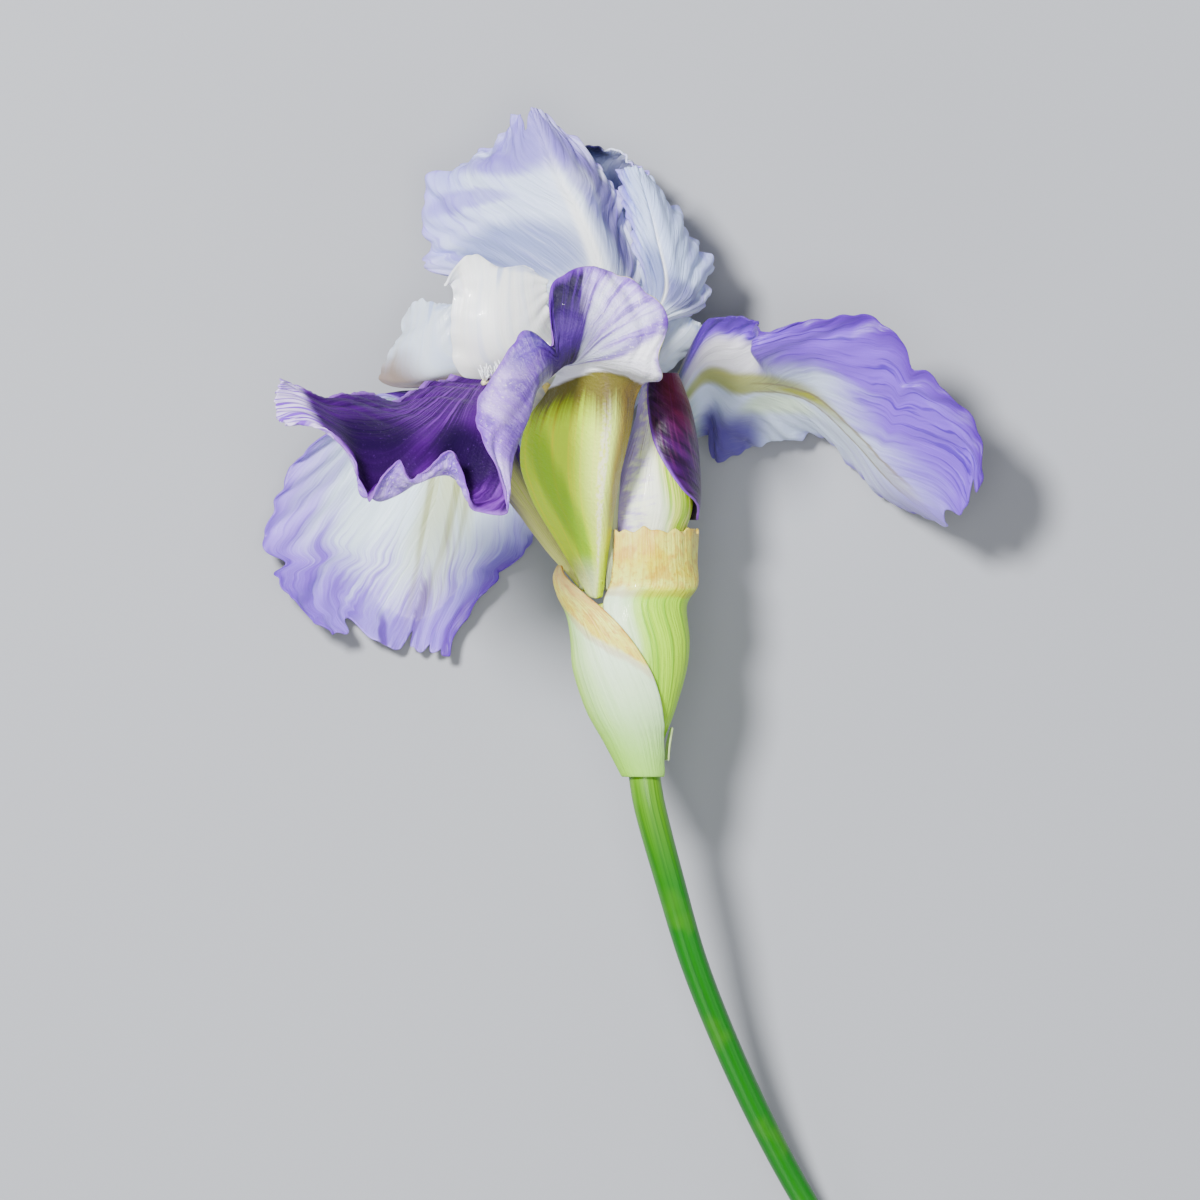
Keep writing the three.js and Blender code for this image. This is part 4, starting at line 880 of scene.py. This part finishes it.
FALL_LOOKS = {  # ribs, rows and columns of the grid, both finishes and how many waves the margin has
    "fall_front": (FALL_FRONT, 190, 56, front_face("front_face"), front_back("front_back"), 60),
    "fall_left": (FALL_LEFT, 120, 90, left_back("left_back"),
                  fall_face("left_face", 30, 14.0, 0.22), 34),
    "fall_right": (FALL_RIGHT, 120, 80, right_back("right_back"),
                   fall_face("right_face", 50, 18.0, 0.20), 40),
}
MARGIN_NOTCHES = {  # half (1 is where v is over 0.5), spot, width and depth of each deeper notch
    "fall_front": ((1, 0.433, 0.014, 0.42), (1, 0.245, 0.018, 0.14)),
    "fall_left": ((-1, 0.812, 0.013, 0.13), (-1, 0.945, 0.010, 0.05),
                  (1, 0.96, 0.05, 0.15), (1, 0.835, 0.030, 0.15)),
    "fall_right": ((1, 0.80, 0.010, 0.12), (1, 0.62, 0.008, 0.04)),
}
TIP_NOTCHES = {  # depth and count of the small lobes, then spot, width and cut of each deeper notch
    "fall_front": (0.004, 11),
    "fall_left": (0.012, 11, (0.20, 0.06, 0.055), (0.53, 0.022, 0.045), (0.76, 0.03, 0.015)),
    "fall_right": (0.030, 11),
}
for seed, (node, (ribs, rows, cols, near, far, waves)) in enumerate(FALL_LOOKS.items()):
    crimp = 0.6 if node == "fall_front" else 0.32
    scallops = scalloped(0.030, 70, seed)

    def nick(u, v):
        """The scallops, with the deeper notches of this petal's margins."""
        cuts = [deep * math.exp(-((u - at) / wide) ** 2)
                for half, at, wide, deep in MARGIN_NOTCHES[node] if half * (v - 0.5) > 0]
        return scallops(u, v) + sum(cuts)

    leaf = sheet(ribbed(ribs), rows, cols, wave=crimped(0.8, crimp, waves, seed + 1.0),
                 nick=nick, tip=notched(*TIP_NOTCHES[node]))
    finish_piece(node + "_petal", leaf, node, [near, far], thick=FALL_THICK)

# ---- Beards
# A brush of fine fleshy hairs on the midrib of each fall, white with cream roots. They
# stand on a low round ribbon that lies over the petal.
BEARDS = {  # ribs of the fall, start and end along it, place across it and the side it stands on
    "beard_front": (FALL_FRONT, 0.26, 0.585, 0.24, -1),
    "beard_left": (FALL_LEFT, 0.28, 0.47, 0.5, 1),
    "beard_right": (FALL_RIGHT, 0.2, 0.44, 0.5, 1),
}
HAIR_LENGTH = 4.2
HAIR_COUNT = 230
HAIR_LEAN = 0.95  # how far the outermost hairs lean over, against 1 upright
HAIR_ROOT, HAIR_TIP = 0.13, 0.17
RIBBON_RADIUS = 0.5
RIBBON_SEAT = FALL_THICK / 2 + 0.55  # the ribbon's middle over the middle of the petal
RIBBON_STOPS = 9
hair_finish = Finish("beard_hairs", 0.5, soft=0.3, sheen=0.2)
tuft = hair_finish.grain(400.0)
tint = hair_finish.blend(bar_place(hair_finish)[2], 0.0, 0.55, (234, 228, 196), (246, 248, 255))
tint = tint.under(hair_finish.ease(tuft, 0.5, 0.8) * 0.3, 214, 214, 240)
beard_white = hair_finish.paint(tint, tuft, 0.3)

for node, (ribs, start, end, middle, side) in BEARDS.items():
    skin = ribbed(ribs)

    def stand(u, v, height):
        """A point over the petal, with the petal's normal and the way across it there."""
        down = skin(u + 0.01, v) - skin(u - 0.01, v)
        across = skin(u, v + 0.01) - skin(u, v - 0.01)
        normal = across.cross(down).normalized() * side
        return skin(u, v) + normal * height, normal, across.normalized()

    last = RIBBON_STOPS - 1
    route = [stand(start + (end - start) * k / last, middle, RIBBON_SEAT)[0]
             for k in range(RIBBON_STOPS)]
    brush = rod(route, [RIBBON_RADIUS] * RIBBON_STOPS, steps=40, sides=10)
    grain = brush.verts.layers.float_vector["grain"]
    for vert in brush.verts:
        vert[grain].z = 0.0
    for k in range(HAIR_COUNT):
        spot = start + (end - start) * random.random()
        root, normal, across = stand(spot, middle, RIBBON_SEAT)
        lean = random.uniform(-HAIR_LEAN, HAIR_LEAN)
        ahead = (stand(spot + 0.01, middle, RIBBON_SEAT)[0] - root).normalized()
        aim = (normal + across * lean + ahead * random.uniform(-0.2, 0.5)).normalized()
        size = HAIR_LENGTH * random.uniform(0.6, 1.0) * (1 - 0.25 * abs(lean))
        hair = bmesh.ops.create_cone(brush, cap_ends=True, segments=5, radius1=HAIR_ROOT,
                                     radius2=HAIR_TIP, depth=size)
        turn = Vector((0, 0, 1)).rotation_difference(aim).to_matrix().to_4x4()
        for vert in hair["verts"]:
            vert[grain] = (vert.co.x * 4, vert.co.y * 4, vert.co.z / size + 0.5)
        place = Matrix.Translation(root + aim * size / 2) @ turn
        bmesh.ops.transform(brush, matrix=place, verts=hair["verts"])
    finish_piece(node + "_brush", brush, node, [beard_white], subdivide=0)

# ---- Standards
# Three broad petals that rise on narrow claws and lean together: near white, flushed with
# lilac at the crimped margins, with a raised pale midrib and fine fanning veins.
STANDARD_THICK = 0.42
STANDARD_LEFT = [
  [[-4, 2, -0.2], [-3.9, 2, 0.4], [-3.7, 2, 0.9], [-3.4, 2.1, 1.4], [-3, 2.2, 1.9]],
  [[-5.6, 20, -2.2], [-4.6, 20.2, -1.2], [-3.6, 20.4, -0.6], [-2.6, 20.4, -0.8], [-1.6, 20.2, -1.6]],
  [[-7.4, 40, -4.8], [-5, 40.4, -3], [-2.6, 40.6, -2.2], [-0.4, 40.4, -3], [1.2, 40, -5]],
  [[-21, 55, -11], [-10.4, 55.6, -5.6], [-1.2, 56, -3.4], [4.6, 55.6, -5.8], [9, 55, -9.4]],
  [[-32.6, 64.4, -16.4], [-17, 67, -6], [-0.4, 66.4, -0.8], [5.8, 66, -6.2], [10.4, 66, -12]],
  [[-36.8, 70.6, -18.4], [-21, 76.6, -6], [-4.6, 77.6, 0.8], [2.2, 75.6, -5.4], [6.4, 74.6, -11.6]],
  [[-34.6, 84.8, -17], [-22, 85.2, -6.6], [-8, 83.8, 0.6], [0.4, 82.4, -6], [4.4, 80.6, -12.4]],
  [[-23.6, 89.8, -13], [-17.4, 91, -6.4], [-11, 91, -1], [-4.8, 89.4, -6], [-0.4, 87.2, -11.4]],
  [[-17.4, 96.6, -9], [-15.8, 98, -6.4], [-14, 99.2, -4.4], [-12.4, 98.4, -5.4], [-11, 96.4, -7]],
]
STANDARD_RIGHT = [
  [[1.3, 2, 2.7], [1.8, 1.9, 2.3], [2.4, 1.9, 1.8], [2.8, 1.9, 1.1], [3, 2, 0.5]],
  [[0.9, 20, 2.4], [1.7, 20.2, 2.8], [2.5, 20.4, 2.8], [3.2, 20.4, 2.3], [3.7, 20.2, 1.4]],
  [[2.4, 38.6, 0.4], [3.2, 38.9, 1], [4, 39, 1], [4.8, 38.9, 0.6], [5.6, 38.6, -0.4]],
  [[5.4, 51.4, -1.6], [7, 52.4, -0.8], [8.8, 53, -0.6], [10.8, 54, -2], [12.4, 55, -5]],
  [[8.4, 62, -3.2], [10.2, 62.8, -1.4], [13.2, 62.2, -1], [17.6, 60.2, -4.6], [20.8, 58.8, -12]],
  [[6.8, 71.6, -3.8], [8.6, 72.6, -1.4], [11.4, 72.8, -0.4], [17, 70, -5], [22.4, 67, -15]],
  [[4.8, 79, -5.6], [6.8, 80, -3.4], [9.4, 80.6, -2.4], [13.6, 79.4, -7.4], [17.6, 73.8, -16.6]],
  [[3.4, 86, -8.8], [5.2, 87, -7.4], [7, 87.2, -6.4], [9.2, 85.6, -9.4], [11, 82, -15]],
]
STANDARD_BACK = [
  [[-0.9, 2.1, -3.5], [-0.3, 2, -3.8], [0.4, 2, -3.8], [1, 2, -3.6], [1.6, 2.1, -3.2]],
  [[-1.6, 20, -10], [-0.8, 20, -10.6], [0, 20, -10.8], [0.8, 20, -10.6], [1.6, 20, -10]],
  [[-4.6, 40, -16.6], [-2.4, 40, -18], [0, 40, -18.6], [2.4, 40, -18], [4.6, 40, -17]],
  [[-15, 54, -21.6], [-7.6, 55, -26.4], [0.6, 56, -28.4], [8.6, 55, -26.4], [15, 54, -22]],
  [[-27, 66, -23.4], [-14, 67.4, -34], [0, 68, -38.4], [11.6, 67.4, -34.6], [20.4, 65, -25]],
  [[-28, 79, -23.4], [-14.4, 79.6, -34], [-0.6, 80, -38.4], [10.4, 78, -34], [17, 73, -25]],
  [[-21, 87.6, -20.4], [-11.4, 88.6, -26.4], [-1, 89, -29.4], [7.4, 86.6, -25.6], [11, 82, -21]],
  [[-13.4, 90, -17], [-7.4, 91, -19.6], [-1, 91.4, -20.6], [4.4, 90, -19], [7.6, 86.4, -18]],
]
STANDARDS = {
    "standard_left": STANDARD_LEFT,
    "standard_right": STANDARD_RIGHT,
    "standard_back": STANDARD_BACK,
}
# Lilac and sky blue are the petals' own flush; the grey-blue, plum and navy colours are painted shade.
LILAC, SHADE_MIST, SHADE_PLUM = (140, 124, 206), (124, 132, 178), (90, 72, 144)
SKY, SHADE_NAVY = (176, 196, 246), (34, 24, 78)


def standard_finish(name, seed, zones):
    """A standard's near white skin with zones of lilac flush and of painted shade, each (centre, size,
    share, colour).
    """
    finish = Finish(name, 0.42, soft=0.15)
    u, v = finish.sheet_place()
    side = (v - 0.5).size() * 2.0
    veins = fanned(finish, u, v, 64, seed, crowd=0.8)
    flush = finish.ease(u * 0.45 + side * 0.5 + (veins.broad - 0.5) * 0.9, 0.50, 1.0)
    tint = finish.mix(flush, linear(230, 237, 255), linear(186, 178, 238))
    for at, size, share, colour in zones:
        rough_u, rough_v = u + (veins.fine - 0.5) * 0.03, v + (veins.broad - 0.5) * 0.10
        tint = tint.under(finish.patch(rough_u, rough_v, at, size) * share, *colour)
    streak = finish.ease(veins.fine, 0.52, 0.66) * finish.ease(side + u * 0.5, 0.3, 1.2)
    tint = tint.under(streak * 0.5, 140, 124, 204)
    edge = finish.ease(side + (veins.fine - 0.5) * 0.06, 0.955, 1.0)
    tint = tint.under(edge * 0.4, 160, 140, 216)
    rib = finish.ease((v - 0.5).size(), 0.045, 0.012) * finish.ease(u, 0.90, 0.60)
    tint = tint.under(rib * 0.8, 252, 254, 255)
    claw = finish.ease(u, 0.36, 0.10)
    tint = tint.under(claw * 0.7, 220, 230, 160)
    return finish.paint(tint, veins.broad + veins.fine * 0.4 + rib * 0.5, 0.7, 0.0012)


# Zones of flush and of painted shade: grey-blue and plum paint the shadow on the standards and the shaded
# side of their folds, navy the deep shade inside the back standard at its tip.
FLUSH_AND_SHADE = {
    "standard_left": [
        ((0.76, 0.25), (0.30, 0.30), 0.35, SKY), ((0.54, 0.30), (0.08, 0.22), 0.75, SHADE_MIST),
        ((0.60, 0.61), (0.14, 0.08), 0.60, SHADE_MIST), ((0.68, 0.76), (0.28, 0.11), 0.85, SHADE_PLUM),
        ((0.92, 0.42), (0.13, 0.40), 0.80, LILAC),
        ((0.80, 0.22), (0.05, 0.15), 0.75, LILAC), ((0.69, 0.17), (0.025, 0.16), 0.60, LILAC),
        ((0.80, 0.60), (0.18, 0.06), 0.50, LILAC)],
    "standard_right": [
        ((0.80, 0.50), (0.30, 0.60), 0.55, SKY), ((0.58, 0.30), (0.12, 0.32), 0.75, SHADE_MIST),
        ((0.57, 0.70), (0.05, 0.24), 0.60, SHADE_PLUM), ((0.84, 0.06), (0.20, 0.10), 0.50, LILAC)],
    "standard_back": [
        ((0.97, 0.49), (0.12, 0.12), 1.0, SHADE_NAVY), ((0.82, 0.50), (0.10, 0.20), 0.40, SHADE_MIST),
        ((0.80, 0.66), (0.16, 0.10), 0.50, SHADE_PLUM)],
}
for seed, (node, ribs) in enumerate(STANDARDS.items()):
    frill = crimped(1.4, 0.45, 36, seed + 5.0, start=0.3, lean=0.3)

    def fold(u, v):
        """The frill, with a raised midrib and a groove beside it."""
        ridge = math.exp(-((v - 0.5) / 0.030) ** 2) * min(max(u - 0.4, 0) * 4, 1)
        valley = math.exp(-((v - 0.60) / 0.05) ** 2) * min(max(u - 0.45, 0) * 3, 1)
        return frill(u, v) - (0.9 * ridge - 0.6 * valley) * (1 - u ** 6)

    cut = 0.065 if node == "standard_left" else 0.0
    leaf = sheet(ribbed(ribs), rows=124, cols=92, wave=fold, nick=scalloped(0.050, 44, seed + 3),
                 tip=notched(0.008, 9, (0.345, 0.075, cut)))
    skin = standard_finish(node + "_skin", seed * 3.0, FLUSH_AND_SHADE[node])
    finish_piece(node + "_petal", leaf, node, [skin], thick=STANDARD_THICK)

# ---- Style arms
# Three thick, glistening white arms that arch over the hafts of the falls, each ending in a
# crest of two upturned lobes with a crimped edge.
STYLE_THICK = 0.55
STYLE_FRONT = [
  [[-1.6, 2, 0.7], [-1.1, 1.9, 1.3], [-0.4, 1.8, 1.6], [0, 1.9, 1.4], [0.4, 2, 1]],
  [[-5.2, 20, 3], [-3.8, 20, 3.7], [-2.4, 20, 3.9], [-1.2, 20, 3.5], [-0.4, 20, 2.8]],
  [[-10, 33.6, 4.4], [-7.4, 34.6, 6], [-4.6, 36, 6.6], [-2.6, 37, 5.6], [-1.4, 38, 4]],
  [[-20, 41.4, 9], [-15.6, 43.4, 10.6], [-11, 46, 11.4], [-8.4, 49, 9], [-7, 51.4, 6]],
  [[-28.2, 45.4, 15.4], [-24, 47, 17.2], [-19, 49.6, 18], [-13.4, 53, 15.6], [-9.8, 56, 12]],
  [[-29.8, 53, 17.4], [-25.6, 55, 19.2], [-20.4, 57, 19.6], [-14.6, 59, 16.6], [-10.4, 60.6, 13]],
  [[-29.6, 61.8, 18], [-25, 63.6, 17.6], [-20, 65, 17], [-15, 65.4, 14.6], [-10.4, 63, 12.6]],
  [[-31.4, 62.2, 21], [-26.4, 69.6, 16], [-19.2, 65.8, 15.4], [-15, 66.4, 13], [-11, 63.6, 12]],
]
STYLE_LEFT = [
  [[-2, 1.8, -0.9], [-1.8, 1.8, -0.4], [-1.6, 1.8, -0.1], [-1.4, 1.8, 0.2], [-1.2, 1.9, 0.5]],
  [[-5.6, 19.4, -4.6], [-5, 20, -3.6], [-4, 20.6, -3.4], [-3, 21, -3.6], [-2.2, 21.4, -4.4]],
  [[-14.4, 34, -11.6], [-13.4, 36, -9.6], [-11.4, 38, -8.6], [-9.6, 40, -8.8], [-8.4, 42, -10]],
  [[-27, 41.4, -15.4], [-25.4, 44, -13], [-23, 46.6, -11.4], [-20.4, 50, -11], [-18.6, 53, -12.4]],
  [[-43.6, 43.6, -17.4], [-39, 44, -14.4], [-34, 45.6, -11.6], [-29.4, 50.4, -10], [-26.4, 54, -11]],
  [[-43.4, 47.6, -17], [-39.4, 50, -13.4], [-35, 52, -11], [-31, 55, -9.8], [-28, 58, -10.4]],
  [[-40.6, 52.4, -16.4], [-37.6, 55, -13.4], [-34, 57.4, -11.4], [-31.4, 58.4, -10.6], [-29.4, 59, -10.6]],
  [[-39.2, 57.4, -17], [-36.6, 61.2, -14.4], [-33.6, 60, -13], [-31.4, 59.4, -12], [-29.6, 59, -11.6]],
]
STYLE_RIGHT = [
  [[0.8, 1.9, 0.8], [1.1, 1.8, 0.4], [1.3, 1.8, 0], [1.3, 1.8, -0.5], [1.1, 1.8, -0.9]],
  [[-2.2, 20, -5], [-1.4, 20.2, -4.4], [-0.6, 20.4, -4.2], [0, 20.4, -4.6], [0.4, 20.4, -5.4]],
  [[2.4, 38, -9.4], [3.4, 38.2, -8.2], [4.6, 38.4, -7.8], [5.6, 38.2, -8.4], [6.4, 37.8, -9.6]],
  [[8, 49, -12.2], [9.6, 48.8, -10.8], [11.6, 48.4, -10.4], [13.4, 47.6, -11.2], [14.6, 46.8, -12.6]],
  [[13, 56.4, -12.4], [15, 55.8, -11], [17.2, 54.4, -10.2], [19, 52.8, -11], [20.2, 51.4, -12.4]],
  [[13.8, 58.6, -12.8], [16.4, 57.6, -11.8], [18.4, 56.6, -11.2], [20, 55.8, -11.8], [21, 54.8, -12.8]],
]
STYLES = {"style_front": STYLE_FRONT, "style_left": STYLE_LEFT, "style_right": STYLE_RIGHT}


def style_finish(name, tone, shade, seed):
    """A style arm's glistening skin of one tone, with painted shade by a share along one margin and in the
    cleft between its crest lobes.
    """
    finish = Finish(name, 0.36, soft=0.3, coat=0.1)
    u, v = finish.sheet_place()
    veins = Veins(finish, v, u, seed, crowd=0.7)
    tint = finish.mix(finish.ease(veins.broad, 0.40, 0.75) * 0.45, tone, linear(196, 206, 238))
    # Painted shade: a brownish grey along one margin.
    painted_shade = finish.patch(u + (veins.broad - 0.5) * 0.1, v, (0.48, 0.08), (0.26, 0.42))
    tint = tint.under(painted_shade * shade, 138, 120, 104)
    # Painted shade: grey-blue in the cleft between the crest lobes and under a lobe's rim.
    cleft_shade = finish.patch(u, v + (veins.broad - 0.5) * 0.06, (0.93, 0.50), (0.13, 0.035))
    cleft_shade = cleft_shade.most(finish.patch(u, v, (0.90, 0.76), (0.05, 0.20)) * 0.7)
    tint = tint.under(cleft_shade * 0.6, 168, 182, 220)
    tint = tint.under(finish.ease(u, 0.45, 0.1) * 0.7, 226, 226, 176)
    return finish.paint(tint, veins.broad + veins.fine * 0.15, 0.4, 0.0006)


for seed, (node, ribs) in enumerate(STYLES.items()):
    frill = crimped(0.5, 0.2, 26, seed + 8.0, start=0.45, lean=0.1)
    leaf = sheet(ribbed(ribs), rows=90, cols=60, wave=frill,
                 nick=scalloped(0.020, 30, seed + 7), tip=notched(0.020, 15))
    # The front arm is white and lightly shaded; the two arms behind are painted greyer and shaded more
    # deeply, as painted shade, for they lie in the shadow of the bloom.
    near = node == "style_front"
    tone = linear(252, 254, 255) if near else linear(214, 222, 232)
    skin = style_finish(node + "_skin", tone, 0.25 if near else 0.85, seed * 2.0)
    finish_piece(node + "_arm", leaf, node, [skin], thick=STYLE_THICK)

# ---- Stamens
# A pale filament and a long anther dusted with cream pollen, hidden under each style arm.
# Filament and anther are one rod, which is widest a little before its tip.
STAMEN_RADII = [0.45, 0.5, 0.55, 1.25, 0.8]
STAMEN_ROUTES = {
  "stamen_front": [[-1.2, 4, 2.9], [-2.4, 20, 6.8], [-5.4, 32, 10.4], [-8.4, 39, 13], [-11, 43, 14.6]],
  "stamen_left": [[-2.4, 4, -2], [-6, 20, -7], [-13, 34, -13.4], [-20, 41, -17], [-24, 43, -18]],
  "stamen_right": [
    [1.2, 4, -2.4], [0.4, 20, -7.9], [2.8, 33, -11.2], [8.2, 43, -13.4], [12.4, 47.4, -14],
  ],
}
dust = Finish("pollen_dust", 0.8)
grains = dust.grain(1500.0, 4.0)
tint = dust.blend(bar_place(dust)[2], 0.55, 0.7, (238, 236, 226), (228, 214, 160))
tint = tint.under(dust.ease(grains, 0.45, 0.65) * 0.5, 250, 244, 214)
pollen_dust = dust.paint(tint, grains, 0.8, 0.0003)
for node, route in STAMEN_ROUTES.items():
    finish_piece(node + "_rod", rod(route, STAMEN_RADII, steps=40, sides=12), node,
                 [pollen_dust])
